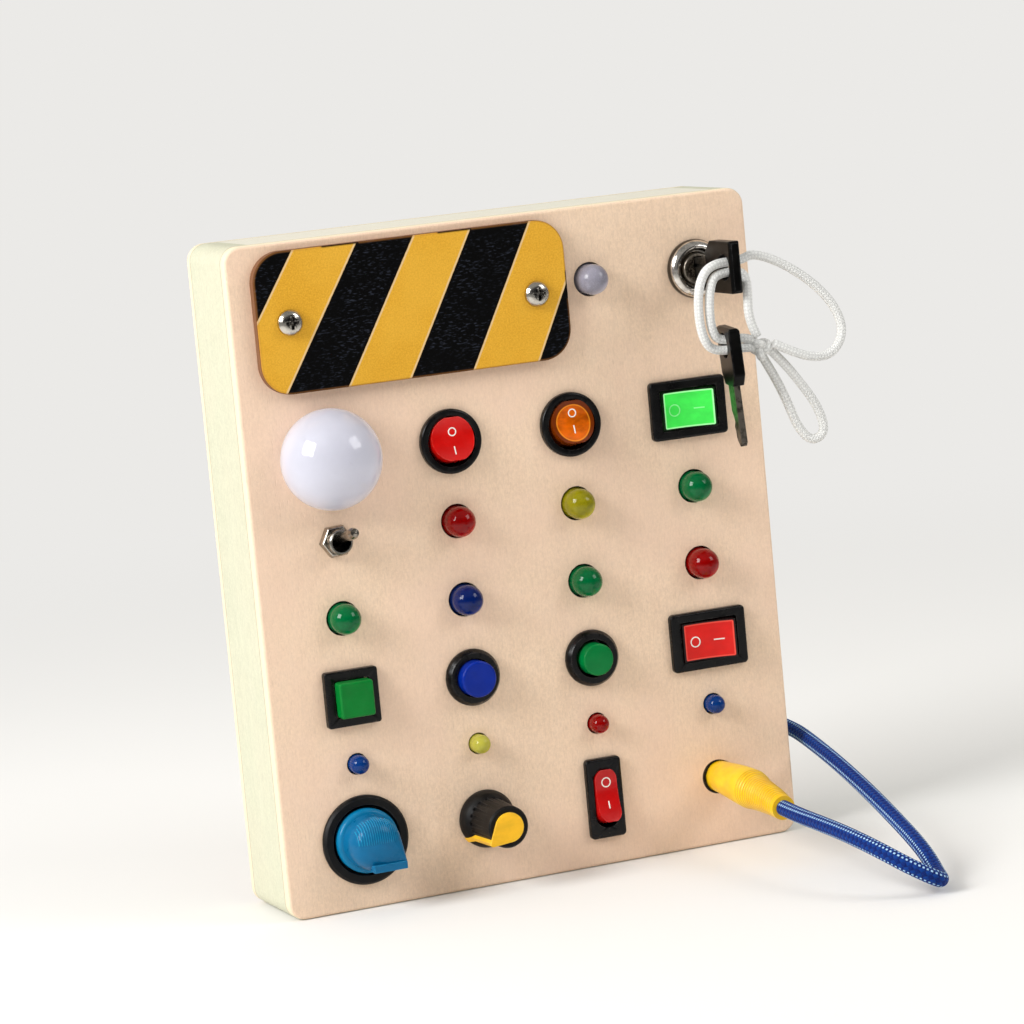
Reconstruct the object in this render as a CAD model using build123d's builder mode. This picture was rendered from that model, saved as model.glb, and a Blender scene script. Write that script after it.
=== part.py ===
"""Wooden busy board: a shallow plywood and pine box that carries switches, lamps, a key lock and a plug.

Frame: millimetres, +Z up, -Y towards the player. The origin is the middle of the box's bottom face,
so the front face stands at y = -DEPTH / 2. "Out" below means the distance in front of that face, and
a negative value is behind it, inside the box.
"""
import math
import os

from build123d import *

# ---------------------------------------------------------------- driving dimensions
WIDTH = 145.6
HEIGHT = 174.0
DEPTH = 30.0
PANEL = 3.0  # front and back plywood
BAR = 8.0  # frame bars, seen from the front
CORNER = 4.5  # outline radius of the box
EDGE = 0.9  # rounding of the panels' outer edges

PITCH = 33.9  # spacing of the four columns
COLUMNS = [0.3 + (step - 1.5) * PITCH for step in range(4)]
ROWS = [18.2, 38.1, 55.7, 76.2, 96.8, 117.7]  # heights of the six rows, lowest first

FRONT = -DEPTH / 2  # y of the front face
BEHIND = -PANEL  # out of the front panel's back
BACK_INNER = DEPTH / 2 - PANEL  # y of the back panel's inner face

PLATE_CENTRE = (-23.7, 153.6)
PLATE_SIZE = (85.6, 36.5)
PLATE_THICKNESS = 2.8
PLATE_SCREWS = [(-57.8, 153.6), (10.2, 152.9)]

LAMP_LARGE = 4.0  # bulb radius of the large lamps
LAMP_SMALL = 2.5
WHITE_LAMP = (26.7, 154.7)
DOME_RADIUS = 13.1
DOME_RISE = 3.4  # out of the centre of the dome's sphere

RIM = 1.8  # out of the rockers' rims
PIVOT = -1.5  # out of the rockers' pivot pins
TILT = 10.0  # half the travel of a rocker, degrees
PIN = 1.0  # radius of the rockers' pivot pins
PIN_PLAY = 0.05

BUTTON_RISE = 5.4  # out of a released button's face

TOGGLE = (COLUMNS[0], 96.4)
TOGGLE_LEAN = 13.0

SELECTOR = (COLUMNS[0], ROWS[0])
SELECTOR_POINTS = -43.0  # direction of the pointer, degrees from +X
VOLUME = (COLUMNS[1], ROWS[0])
VOLUME_POINTS = 217.0

LOCK = (56.7, 154.05)
KEY_HOLE_OUT = 21.6  # out of the cord hole in the turned key
SPARE_HOLE = (54.6, -37.6, 135.2)
SPARE_LEAN = 3.1
SPARE_YAW = 12.0

PLUG = (COLUMNS[3] + 0.4, ROWS[0])
PLUG_RADIUS = 4.2  # where the plug enters the board
PLUG_TAIL = (PLUG[0] - 1.3, FRONT - 40.0, PLUG[1] - 2.3)
CORD_RADIUS = 2.05
CORD_EXIT = (WIDTH / 2, 7.5, 26.8)

STRING_RADIUS = 1.2  # cord of the keys
KNOT = (62.8, -39.0, 134.6)

CELLS = (-23.7, 147.0)  # centre of the pair of cells, x and z
CELL_RADIUS = 7.1
CELL_LENGTH = 50.0
CASE_INSIDE = (58.0, 30.0)
LID = (69.0, 33.4)
LID_CENTRE = (CELLS[0] + 3.8, CELLS[1])
LID_SCREW = (CELLS[0] + 33.2, CELLS[1])

os.makedirs("parts", exist_ok=True)


# ---------------------------------------------------------------- helpers
def facing(x, z, out=0.0):
    """Plane parallel to the front face, with X to the right, Y up and its normal towards the player."""
    return Plane(origin=(x, FRONT - out, z), x_dir=(1, 0, 0), z_dir=(0, -1, 0))


def section(x, z):
    """Level plane through a control's axis: X is the radius and Y is the distance out of the panel."""
    return Plane(origin=(x, FRONT, z), x_dir=(1, 0, 0), z_dir=(0, 0, -1))


def turned(x, z, profile):
    """Solid of revolution about the line through (x, z) square to the panel."""
    with BuildPart() as body:
        with BuildSketch(section(x, z)):
            with BuildLine():
                Polyline(*profile, close=True)
            make_face()
        revolve(axis=Axis((x, FRONT, z), (0, -1, 0)))
    return body.part


def ring(x, z, outer, inner, low, high):
    """Plain sleeve square to the panel."""
    return turned(x, z, [(inner, low), (outer, low), (outer, high), (inner, high)])


def rod(x, z, radius, low, high):
    """Plain round rod square to the panel."""
    return turned(x, z, [(0, low), (radius, low), (radius, high), (0, high)])


def hex_nut(x, z, across_flats, bore, low, high, turn=30.0):
    """Hexagon nut square to the panel."""
    with BuildPart() as nut:
        with BuildSketch(facing(x, z, low)):
            RegularPolygon(across_flats / 2, 6, major_radius=False, rotation=turn)
            Circle(bore, mode=Mode.SUBTRACT)
        extrude(amount=high - low)
    return nut.part


def lamp(x, z, radius, stand):
    """Domed through-hole lamp that stands out of the panel, with its collar seated behind the panel."""
    collar = radius + 1.0
    foot = BEHIND - 1.3
    with BuildPart() as bulb:
        with BuildSketch(section(x, z)):
            with BuildLine():
                Polyline((0, stand), (0, foot), (collar, foot), (collar, BEHIND),
                         (radius, BEHIND), (radius, stand - radius))
                TangentArc((radius, stand - radius), (0, stand), tangent=(0, 1))
            make_face()
        revolve(axis=Axis((x, FRONT, z), (0, -1, 0)))
    return bulb.part


def bar(x0, x1, y0, y1, z0, z1):
    """Square-edged block between two corners."""
    with BuildPart() as block:
        with BuildSketch(Plane.XY.offset(z0)):
            with Locations(((x0 + x1) / 2, (y0 + y1) / 2)):
                Rectangle(x1 - x0, y1 - y0)
        extrude(amount=z1 - z0)
    return block.part


def finish(builder, name):
    """Label a finished piece and write it."""
    builder.part.label = name
    export_step(builder.part, f"parts/{name}.step")


# ---------------------------------------------------------------- rockers
class Rocker:
    """A snap-in rocker switch: where it sits, which way it tips and the outlines of its pieces."""

    def __init__(self, x, z, upright, shape, rim, body, window, cap):
        self.x = x
        self.z = z
        self.upright = upright  # tips up and down instead of left and right
        self.shape = shape  # "box", "slot" or "round"
        self.rim = rim  # outline sizes, along the tipping direction and across it
        self.body = body
        self.window = window
        self.cap = cap
        self.turn = 90.0 if upright else 0.0

    def outline(self, size, corner):
        """Sketch the switch's outline shape at the given size in the current sketch."""
        if self.shape == "round":
            Circle(size[0] / 2)
        elif self.shape == "slot" and corner is None:
            SlotOverall(size[0], size[1], rotation=self.turn)
        else:
            RectangleRounded(size[0], size[1], corner or 0.6, rotation=self.turn)

    def pivot_plane(self, tilt):
        """Plane through the pivot: X runs along the cap, Y out of the panel, the normal is the pin."""
        along = (0, 0, 1) if self.upright else (1, 0, 0)
        pin = (1, 0, 0) if self.upright else (0, 0, -1)
        tipped = Vector(*along).rotate(Axis((0, 0, 0), pin), tilt)
        return Plane(origin=(self.x, FRONT - PIVOT, self.z), x_dir=tipped, z_dir=pin)

    def pin_reach(self):
        """Half length of the pivot pin, into the housing's side walls."""
        return (self.window[1] + self.body[1]) / 4 + 0.1

    def housing(self):
        """Rim, snap-in body, window and pin holes."""
        depth = 13.5
        with BuildPart() as shell:
            with BuildSketch(facing(self.x, self.z)):
                self.outline(self.rim, 1.2)
            extrude(amount=RIM)
            rim_edges = shell.faces().sort_by(Axis.Y)[0].edges()
            fillet(rim_edges, 0.7)
            with BuildSketch(facing(self.x, self.z)):
                self.outline(self.body, 0.8)
            extrude(amount=-depth)
            with BuildSketch(facing(self.x, self.z, RIM)):
                self.outline(self.window, None if self.shape == "slot" else 0.6)
            extrude(amount=-(depth + RIM - 1.0), mode=Mode.SUBTRACT)
            with BuildSketch(self.pivot_plane(0)):
                Circle(PIN + PIN_PLAY)
            extrude(amount=self.pin_reach() + 0.15, both=True, mode=Mode.SUBTRACT)
        return shell.part

    def lever(self, tilt):
        """Cap with one hollow face that both ends rise from, on its pivot pins."""
        reach = self.cap[0] / 2
        valley = 4.2
        crest = valley + (reach - 0.3) * math.tan(math.radians(TILT))
        plane = self.pivot_plane(tilt)
        face = Plane(origin=plane.origin, x_dir=plane.x_dir, z_dir=plane.y_dir)
        with BuildPart() as cap:
            with BuildSketch(plane):
                with BuildLine():
                    Polyline((-reach + 0.3, crest), (-reach, -0.5), (-reach + 1, -2.5), (reach - 1, -2.5),
                             (reach, -0.5), (reach - 0.3, crest))
                    ThreePointArc((reach - 0.3, crest), (0, valley), (-reach + 0.3, crest))
                make_face()
            extrude(amount=self.cap[1] / 2, both=True)
            if self.shape != "box":
                with BuildSketch(face):
                    if self.shape == "round":
                        Circle(reach)
                    else:
                        SlotOverall(self.cap[0], self.cap[1])
                extrude(amount=12, both=True, mode=Mode.INTERSECT)
            with BuildSketch(plane):
                Circle(PIN)
            extrude(amount=self.pin_reach(), both=True)
        return cap.part

    def terminals(self):
        """Solder tags behind the housing."""
        tags = []
        for side in (-1, 1):
            shift = side * 3.6
            x = self.x + (0 if self.upright else shift)
            z = self.z + (shift if self.upright else 0)
            tags.append(bar(x - 1.6, x + 1.6, FRONT + 13.5, FRONT + 21.0, z - 0.4, z + 0.4))
        return tags


BOX_RIM, BOX_BODY, BOX_WINDOW, BOX_CAP = (21.8, 15.6), (18.6, 12.8), (16.4, 10.9), (15.2, 10.2)
round_red = Rocker(COLUMNS[1], ROWS[5], True, "round", (16.9, 16.9), (14.8, 14.8), (13.2, 13.2), (11.8, 11.8))
round_amber = Rocker(COLUMNS[2], ROWS[5], True, "round", (16.9, 16.9), (14.8, 14.8), (13.2, 13.2), (11.8, 11.8))
green_box = Rocker(COLUMNS[3], ROWS[5], False, "box", BOX_RIM, BOX_BODY, BOX_WINDOW, BOX_CAP)
red_box = Rocker(COLUMNS[3], ROWS[2], False, "box", BOX_RIM, BOX_BODY, BOX_WINDOW, BOX_CAP)
narrow = Rocker(COLUMNS[2], ROWS[0], True, "slot", (21.4, 10.1), (19.2, 8.6), (15.9, 6.9), (14.4, 6.2))
ROCKERS = [round_red, round_amber, green_box, red_box, narrow]

GREEN_SPOTS = [(COLUMNS[0], ROWS[3]), (COLUMNS[2], ROWS[3]), (COLUMNS[3], ROWS[4])]
RED_SPOTS = [(COLUMNS[1], ROWS[4]), (COLUMNS[3], ROWS[3])]
YELLOW_SPOTS = [(COLUMNS[2], ROWS[4])]
BLUE_SPOTS = [(COLUMNS[1], ROWS[3])]
SMALL_BLUE_SPOTS = [(COLUMNS[0], ROWS[1]), (COLUMNS[3], ROWS[1])]
SMALL_YELLOW_SPOTS = [(COLUMNS[1], ROWS[1])]
SMALL_RED_SPOTS = [(COLUMNS[2], ROWS[1])]
LARGE_SPOTS = GREEN_SPOTS + RED_SPOTS + YELLOW_SPOTS + BLUE_SPOTS + [WHITE_LAMP]
SMALL_SPOTS = SMALL_BLUE_SPOTS + SMALL_YELLOW_SPOTS + SMALL_RED_SPOTS
DOME = (COLUMNS[0], ROWS[5])
LARGE_STAND = 6.3
SMALL_STAND = 4.3
BUTTONS = [(COLUMNS[0], ROWS[2]), (COLUMNS[1], ROWS[2]), (COLUMNS[2], ROWS[2])]

# ---------------------------------------------------------------- box
with BuildPart() as front_panel:
    with BuildSketch(facing(0, HEIGHT / 2, BEHIND)):
        RectangleRounded(WIDTH, HEIGHT, CORNER)
    extrude(amount=PANEL)
    fillet(front_panel.faces().sort_by(Axis.Y)[0].edges(), EDGE)
    with BuildSketch(facing(0, 0)):
        with Locations(*LARGE_SPOTS):
            Circle(LAMP_LARGE + 0.5)
        with Locations(*SMALL_SPOTS):
            Circle(LAMP_SMALL + 0.35)
        with Locations(*PLATE_SCREWS):
            Circle(1.45)
        with Locations(*BUTTONS):
            Circle(6.1)
        with Locations(DOME):
            Circle(5.1)
        with Locations(TOGGLE):
            Circle(3.35)
        with Locations(SELECTOR):
            Circle(9.9)
        with Locations(VOLUME):
            Circle(3.6)
        with Locations(LOCK):
            Circle(6.6)
        with Locations(PLUG):
            Circle(PLUG_RADIUS + 0.2)
        for switch in ROCKERS:
            with Locations((switch.x, switch.z)):
                switch.outline((switch.body[0] + 0.2, switch.body[1] + 0.2), 0.8)
    extrude(amount=-PANEL, mode=Mode.SUBTRACT)
finish(front_panel, "front_panel")

with BuildPart() as frame_side_bars:
    with BuildSketch(facing(0, HEIGHT / 2, BEHIND)):
        RectangleRounded(WIDTH, HEIGHT, CORNER)
        Rectangle(WIDTH - 2 * BAR, HEIGHT + 1, mode=Mode.SUBTRACT)
    extrude(amount=-(DEPTH - 2 * PANEL))
    with BuildSketch(Plane.YZ.offset(WIDTH / 2)):
        with Locations((CORD_EXIT[1], CORD_EXIT[2])):
            Circle(CORD_RADIUS + 0.2)
    extrude(amount=-BAR, mode=Mode.SUBTRACT)
finish(frame_side_bars, "frame_side_bars")

with BuildPart() as frame_end_bars:
    with BuildSketch(Plane.XZ.offset(-BACK_INNER)):
        with Locations((0, BAR / 2), (0, HEIGHT - BAR / 2)):
            Rectangle(WIDTH - 2 * BAR, BAR)
    extrude(amount=DEPTH - 2 * PANEL)
finish(frame_end_bars, "frame_end_bars")

BACK_SCREW_INSET = 5.2
BACK_SCREWS = [(side * (WIDTH / 2 - BACK_SCREW_INSET), z)
               for side in (-1, 1) for z in (BACK_SCREW_INSET + 4, HEIGHT - BACK_SCREW_INSET - 4)]

with BuildPart() as back_panel:
    with BuildSketch(facing(0, HEIGHT / 2, -(DEPTH - PANEL))):
        RectangleRounded(WIDTH, HEIGHT, CORNER)
    extrude(amount=-PANEL)
    fillet(back_panel.faces().sort_by(Axis.Y)[-1].edges(), EDGE)
    with BuildSketch(facing(0, 0, -DEPTH)):
        with Locations(LID_CENTRE):
            Rectangle(LID[0] + 0.6, LID[1] + 0.6)
        with Locations(*BACK_SCREWS):
            Circle(1.6)
    extrude(amount=PANEL, mode=Mode.SUBTRACT)
    for spot in BACK_SCREWS:
        add(turned(*spot, [(0, -DEPTH - 0.1), (3.2, -DEPTH - 0.1), (1.6, -DEPTH + 1.5), (0, -DEPTH + 1.5)]),
            mode=Mode.SUBTRACT)
finish(back_panel, "back_panel")

with BuildPart() as back_screws:
    for spot in BACK_SCREWS:
        add(turned(*spot, [(0, -DEPTH), (3.0, -DEPTH), (1.5, -DEPTH + 1.4), (1.5, -DEPTH + PANEL),
                           (0, -DEPTH + PANEL)]))
finish(back_screws, "back_screws")

# ---------------------------------------------------------------- striped plate
with BuildPart() as hazard_plate:
    with BuildSketch(facing(*PLATE_CENTRE)):
        RectangleRounded(*PLATE_SIZE, 8.0)
    extrude(amount=PLATE_THICKNESS)
    fillet(hazard_plate.faces().sort_by(Axis.Y)[0].edges(), 0.4)
    with BuildSketch(facing(0, 0)):
        with Locations(*PLATE_SCREWS):
            Circle(1.6)
    extrude(amount=PLATE_THICKNESS, mode=Mode.SUBTRACT)
finish(hazard_plate, "hazard_plate")

with BuildPart() as plate_screws:
    for spot in PLATE_SCREWS:
        add(turned(*spot, [(0, -7.5), (1.4, -6.3), (1.4, PLATE_THICKNESS), (3.4, PLATE_THICKNESS),
                           (3.3, PLATE_THICKNESS + 1.0), (2.5, PLATE_THICKNESS + 1.9),
                           (1.2, PLATE_THICKNESS + 2.3), (0, PLATE_THICKNESS + 2.4)]))
        with BuildSketch(facing(*spot, PLATE_THICKNESS + 2.4)):
            Rectangle(3.4, 0.8)
            Rectangle(0.8, 3.4)
        extrude(amount=-1.3, mode=Mode.SUBTRACT)
finish(plate_screws, "plate_screws")

# ---------------------------------------------------------------- lamps
with BuildPart() as dome_lens:
    with BuildSketch(section(*DOME)):
        with Locations((0, DOME_RISE)):
            Circle(DOME_RADIUS)
            Circle(DOME_RADIUS - 1.4, mode=Mode.SUBTRACT)
        with Locations((-DOME_RADIUS, 0)):
            Rectangle(2 * DOME_RADIUS, 4 * DOME_RADIUS, mode=Mode.SUBTRACT)
        with Locations((0, -DOME_RADIUS)):
            Rectangle(4 * DOME_RADIUS, 2 * DOME_RADIUS, mode=Mode.SUBTRACT)
    revolve(axis=Axis((DOME[0], FRONT, DOME[1]), (0, -1, 0)))
finish(dome_lens, "dome_lens")

with BuildPart() as dome_base:
    add(turned(*DOME, [(2.7, -6.5), (4.9, -6.5), (4.9, 0), (11.0, 0), (11.0, 1.4), (2.7, 1.4)]))
finish(dome_base, "dome_base")

with BuildPart() as green_lamps:
    for spot in GREEN_SPOTS:
        add(lamp(*spot, LAMP_LARGE, LARGE_STAND))
finish(green_lamps, "green_lamps")

with BuildPart() as red_lamps:
    for spot in RED_SPOTS:
        add(lamp(*spot, LAMP_LARGE, LARGE_STAND))
    for spot in SMALL_RED_SPOTS:
        add(lamp(*spot, LAMP_SMALL, SMALL_STAND))
finish(red_lamps, "red_lamps")

with BuildPart() as yellow_lamps:
    for spot in YELLOW_SPOTS:
        add(lamp(*spot, LAMP_LARGE, LARGE_STAND))
    for spot in SMALL_YELLOW_SPOTS:
        add(lamp(*spot, LAMP_SMALL, SMALL_STAND))
finish(yellow_lamps, "yellow_lamps")

with BuildPart() as blue_lamps:
    for spot in BLUE_SPOTS:
        add(lamp(*spot, LAMP_LARGE, LARGE_STAND))
    for spot in SMALL_BLUE_SPOTS:
        add(lamp(*spot, LAMP_SMALL, SMALL_STAND))
finish(blue_lamps, "blue_lamps")

with BuildPart() as white_lamps:
    add(lamp(*WHITE_LAMP, LAMP_LARGE, LARGE_STAND))
    add(rod(*DOME, LAMP_SMALL, -5.0, 5.0))
finish(white_lamps, "white_lamps")

LEG_LENGTH = 9.0
with BuildPart() as lamp_legs:
    for spot in LARGE_SPOTS + SMALL_SPOTS:
        for side in (-1.27, 1.27):
            x = spot[0] + side
            top = FRONT - BEHIND + 1.3
            add(bar(x - 0.25, x + 0.25, top, top + LEG_LENGTH, spot[1] - 0.25, spot[1] + 0.25))
finish(lamp_legs, "lamp_legs")

# ---------------------------------------------------------------- rocker switches
with BuildPart() as round_red_housing:
    add(round_red.housing())
finish(round_red_housing, "round_red_housing")

with BuildPart() as round_red_cap:
    add(round_red.lever(-TILT))
finish(round_red_cap, "round_red_cap")

with BuildPart() as round_amber_housing:
    add(round_amber.housing())
finish(round_amber_housing, "round_amber_housing")

with BuildPart() as round_amber_cap:
    add(round_amber.lever(-TILT))
finish(round_amber_cap, "round_amber_cap")

with BuildPart() as green_rocker_housing:
    add(green_box.housing())
finish(green_rocker_housing, "green_rocker_housing")

with BuildPart() as green_rocker_cap:
    add(green_box.lever(TILT))
finish(green_rocker_cap, "green_rocker_cap")

with BuildPart() as red_rocker_housing:
    add(red_box.housing())
finish(red_rocker_housing, "red_rocker_housing")

with BuildPart() as red_rocker_cap:
    add(red_box.lever(TILT))
finish(red_rocker_cap, "red_rocker_cap")

with BuildPart() as narrow_rocker_housing:
    add(narrow.housing())
finish(narrow_rocker_housing, "narrow_rocker_housing")

with BuildPart() as narrow_rocker_cap:
    add(narrow.lever(-TILT))
finish(narrow_rocker_cap, "narrow_rocker_cap")

with BuildPart() as switch_terminals:
    for switch in ROCKERS:
        for tag in switch.terminals():
            add(tag)
finish(switch_terminals, "switch_terminals")

# ---------------------------------------------------------------- toggle switch
TOGGLE_MOUTH = 5.0  # out of the bushing's mouth
TOGGLE_PIVOT = 0.5  # out of the lever's pivot ball
with BuildPart() as toggle_body:
    with BuildSketch(facing(*TOGGLE, BEHIND)):
        RectangleRounded(8.0, 13.0, 0.8)
    extrude(amount=-9.5)
    add(turned(*TOGGLE, [(0, BEHIND), (3.25, BEHIND), (3.25, TOGGLE_MOUTH - 0.4), (2.95, TOGGLE_MOUTH),
                         (0, TOGGLE_MOUTH)]))
    add(turned(*TOGGLE, [(0, -2.5), (2.3, -2.5), (2.3, 2.0), (2.6, TOGGLE_MOUTH + 0.1), (0, TOGGLE_MOUTH + 0.1)]),
        mode=Mode.SUBTRACT)
finish(toggle_body, "toggle_body")

with BuildPart() as toggle_nut:
    add(hex_nut(*TOGGLE, 8.8, 3.25, 0, 2.4, turn=4.0))
    add(turned(*TOGGLE, [(4.1, 3.0), (7.0, 3.0), (7.0, 1.6), (5.0, 1.6)]), mode=Mode.SUBTRACT)
finish(toggle_nut, "toggle_nut")

lean = math.radians(TOGGLE_LEAN)
lever_axis = Vector(0, -math.cos(lean), math.sin(lean))
lever_plane = Plane(origin=(TOGGLE[0], FRONT - TOGGLE_PIVOT, TOGGLE[1]), x_dir=(1, 0, 0),
                    z_dir=Vector(1, 0, 0).cross(lever_axis))
with BuildPart() as toggle_lever:
    with BuildSketch(lever_plane):
        with BuildLine():
            Polyline((0, -1.4), (1.2, -1.1), (1.5, 0), (1.1, 2.0), (1.15, 5.0), (1.5, 12.0), (1.5, 14.0), (1.1, 15.4),
                     (0, 15.9), close=True)
        make_face()
    revolve(axis=Axis(lever_plane.origin, lever_axis))
finish(toggle_lever, "toggle_lever")


# ---------------------------------------------------------------- push buttons
def button_body(x, z, square):
    """Bezel, threaded barrel and the guide bore of a push button."""
    with BuildPart() as body:
        if square:
            with BuildSketch(facing(x, z)):
                RectangleRounded(14.6, 14.6, 0.8)
            extrude(amount=2.0)
            fillet(body.faces().sort_by(Axis.Y)[0].edges(), 0.5)
            add(rod(x, z, 6.0, -13.0, 0.0))
        else:
            add(turned(x, z, [(0, -13), (6.0, -13), (6.0, 0), (7.45, 0), (7.45, 1.0), (6.6, 2.3), (0, 2.3)]))
        with BuildSketch(facing(x, z, 3.0)):
            if square:
                RectangleRounded(9.9, 9.9, 0.7)
            else:
                Circle(5.1)
        extrude(amount=-3.0 if square else -5.9, mode=Mode.SUBTRACT)
        add(rod(x, z, 4.2, -12.0, 0.1), mode=Mode.SUBTRACT)
    return body.part


def button_cap(x, z, square):
    """Plunger of a push button."""
    with BuildPart() as cap:
        low = 1.9 if square else 0.0
        with BuildSketch(facing(x, z, low)):
            if square:
                RectangleRounded(9.3, 9.3, 0.7)
            else:
                Circle(4.75)
        extrude(amount=BUTTON_RISE - low)
        fillet(cap.faces().sort_by(Axis.Y)[0].edges(), 0.6)
        add(rod(x, z, 3.9, -7.5, low))
    return cap.part


with BuildPart() as square_button_body:
    add(button_body(*BUTTONS[0], True))
finish(square_button_body, "square_button_body")

with BuildPart() as square_button_cap:
    add(button_cap(*BUTTONS[0], True))
finish(square_button_cap, "square_button_cap")

with BuildPart() as blue_button_body:
    add(button_body(*BUTTONS[1], False))
finish(blue_button_body, "blue_button_body")

with BuildPart() as blue_button_cap:
    add(button_cap(*BUTTONS[1], False))
finish(blue_button_cap, "blue_button_cap")

with BuildPart() as green_button_body:
    add(button_body(*BUTTONS[2], False))
finish(green_button_body, "green_button_body")

with BuildPart() as green_button_cap:
    add(button_cap(*BUTTONS[2], False))
finish(green_button_cap, "green_button_cap")

with BuildPart() as panel_nuts:
    for spot in BUTTONS:
        add(hex_nut(*spot, 15.0, 6.0, BEHIND - 2.5, BEHIND))
    add(hex_nut(*LOCK, 15.0, 6.5, BEHIND - 3.0, BEHIND))
    add(hex_nut(*VOLUME, 10.0, 3.5, 0.0, 2.0))
finish(panel_nuts, "panel_nuts")

# ---------------------------------------------------------------- selector
with BuildPart() as selector_body:
    add(turned(*SELECTOR, [(0, -13), (9.7, -13), (9.7, 0), (11.7, 0), (11.7, 1.0), (11.1, 1.7), (9.3, 1.7),
                           (8.8, 0.6), (8.8, -2.0), (2.6, -2.0), (2.6, -9.0), (0, -9.0)]))
finish(selector_body, "selector_body")

FLUTES = 22
with BuildPart() as selector_knob:
    add(turned(*SELECTOR, [(0, -8.5), (2.5, -8.5), (2.5, -1.7), (8.4, -1.7), (8.4, 2.6), (7.8, 3.4), (0, 3.4)]))
    tip = (8.4 * math.cos(math.radians(SELECTOR_POINTS)), 8.4 * math.sin(math.radians(SELECTOR_POINTS)))
    with BuildSketch(facing(*SELECTOR, 3.4)):
        Circle(7.2)
        with Locations(tip):
            Circle(1.3)
        make_hull()
    extrude(amount=8.2, taper=3)
    fillet(selector_knob.faces().sort_by(Axis.Y)[0].edges(), 1.5)
    with BuildSketch(facing(*SELECTOR, 12.0)):
        with PolarLocations(7.3, FLUTES, SELECTOR_POINTS + 90, 180):
            Circle(0.45)
    extrude(amount=-8.4, mode=Mode.SUBTRACT)
    with BuildSketch(facing(*SELECTOR, 11.2)):
        with Locations(Location((tip[0] / 2, tip[1] / 2, 0), (0, 0, SELECTOR_POINTS))):
            RectangleRounded(8.4, 2.4, 1.0)
    extrude(amount=0.9)
finish(selector_knob, "selector_knob")

# ---------------------------------------------------------------- volume control
with BuildPart() as volume_body:
    add(ring(*VOLUME, 3.5, 3.05, -3.0, 3.0))
    add(turned(*VOLUME, [(3.05, -4.0), (8.0, -4.0), (8.0, -11.0), (0, -11.0), (0, -10.0), (3.05, -10.0)]))
    add(ring(*VOLUME, 3.5, 3.05, -4.0, -3.0))
finish(volume_body, "volume_body")

with BuildPart() as volume_shaft:
    add(rod(*VOLUME, 3.0, -9.5, 12.0))
finish(volume_shaft, "volume_shaft")

RIBS = 18
with BuildPart() as volume_knob:
    add(turned(*VOLUME, [(3.0, 3.0), (6.2, 3.0), (6.2, 0.4), (7.6, 0.4), (7.6, 1.6), (6.9, 3.4), (5.9, 4.4),
                         (5.5, 15.4), (5.1, 15.8), (0, 15.8), (0, 12.0), (3.0, 12.0)]))
    with BuildSketch(facing(*VOLUME, 15.9)):
        with PolarLocations(6.0, RIBS):
            Circle(0.5)
    extrude(amount=-11.8, mode=Mode.SUBTRACT)
finish(volume_knob, "volume_knob")

pointing = math.radians(VOLUME_POINTS)
with BuildPart() as volume_pointer:
    with BuildSketch(facing(*VOLUME, 15.8)):
        Circle(3.9)
        with Locations((6.2 * math.cos(pointing), 6.2 * math.sin(pointing))):
            Circle(0.65)
        make_hull()
    extrude(amount=0.6)
    side = Plane(origin=(VOLUME[0], FRONT, VOLUME[1]), x_dir=(math.cos(pointing), 0, math.sin(pointing)),
                 z_dir=(-math.sin(pointing), 0, math.cos(pointing)))
    with BuildSketch(side):
        with BuildLine():
            Polyline((4.8, -16.4), (6.5, -16.4), (6.9, -4.4), (7.9, -1.6), (7.9, -0.8), (7.1, -0.8), (6.5, -3.4),
                     (5.5, -4.8), (4.8, -15.6), close=True)
        make_face()
    extrude(amount=0.65, both=True)
    add(volume_knob.part, mode=Mode.SUBTRACT)
finish(volume_pointer, "volume_pointer")

# ---------------------------------------------------------------- lock and keys
with BuildPart() as lock_barrel:
    add(turned(*LOCK, [(4.3, -16), (6.5, -16), (6.5, 0), (7.8, 0), (7.8, 1.4), (7.2, 2.6), (6.0, 3.6), (5.2, 3.2),
                       (5.2, 1.8), (4.3, 1.8)]))
finish(lock_barrel, "lock_barrel")

KEY_THICK = 1.7
BLADE_HALF = 3.0
BLADE_SHIFT = 1.1  # the blade is this far off the grip's middle
KEY_HOLE = 3.3
with BuildPart() as lock_core:
    add(turned(*LOCK, [(0, -19), (2.6, -19), (2.6, -16.4), (4.25, -16.4), (4.25, 2.6), (3.9, 3.0), (0, 3.0)]))
    with BuildSketch(facing(*LOCK, 3.1)):
        Rectangle(KEY_THICK + 0.6, 2 * BLADE_HALF + 0.6)
    extrude(amount=-9.0, mode=Mode.SUBTRACT)
finish(lock_core, "lock_core")


def key_head(plane):
    """Moulded grip of a key: X runs from the cord hole towards the blade, the normal is the cord's way."""
    with BuildPart() as grip:
        with BuildSketch(plane):
            with BuildLine():
                Polyline((-4.7, -6.8), (7.6, -6.8), (10.6, -3.8), (10.6, 4.4), (7.6, 6.8), (-4.7, 6.8), close=True)
            make_face()
        extrude(amount=1.55, both=True)
        end = [edge for edge in grip.edges() if abs(plane.to_local_coords(edge.center()).X + 4.7) < 0.1]
        fillet(end, 1.0)
        with BuildSketch(plane):
            Circle(KEY_HOLE)
        extrude(amount=3, both=True, mode=Mode.SUBTRACT)
        with BuildSketch(plane):
            with Locations((7.8, BLADE_SHIFT)):
                Rectangle(5.7, 2 * BLADE_HALF)
        extrude(amount=KEY_THICK / 2, both=True, mode=Mode.SUBTRACT)
    return grip.part


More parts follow.
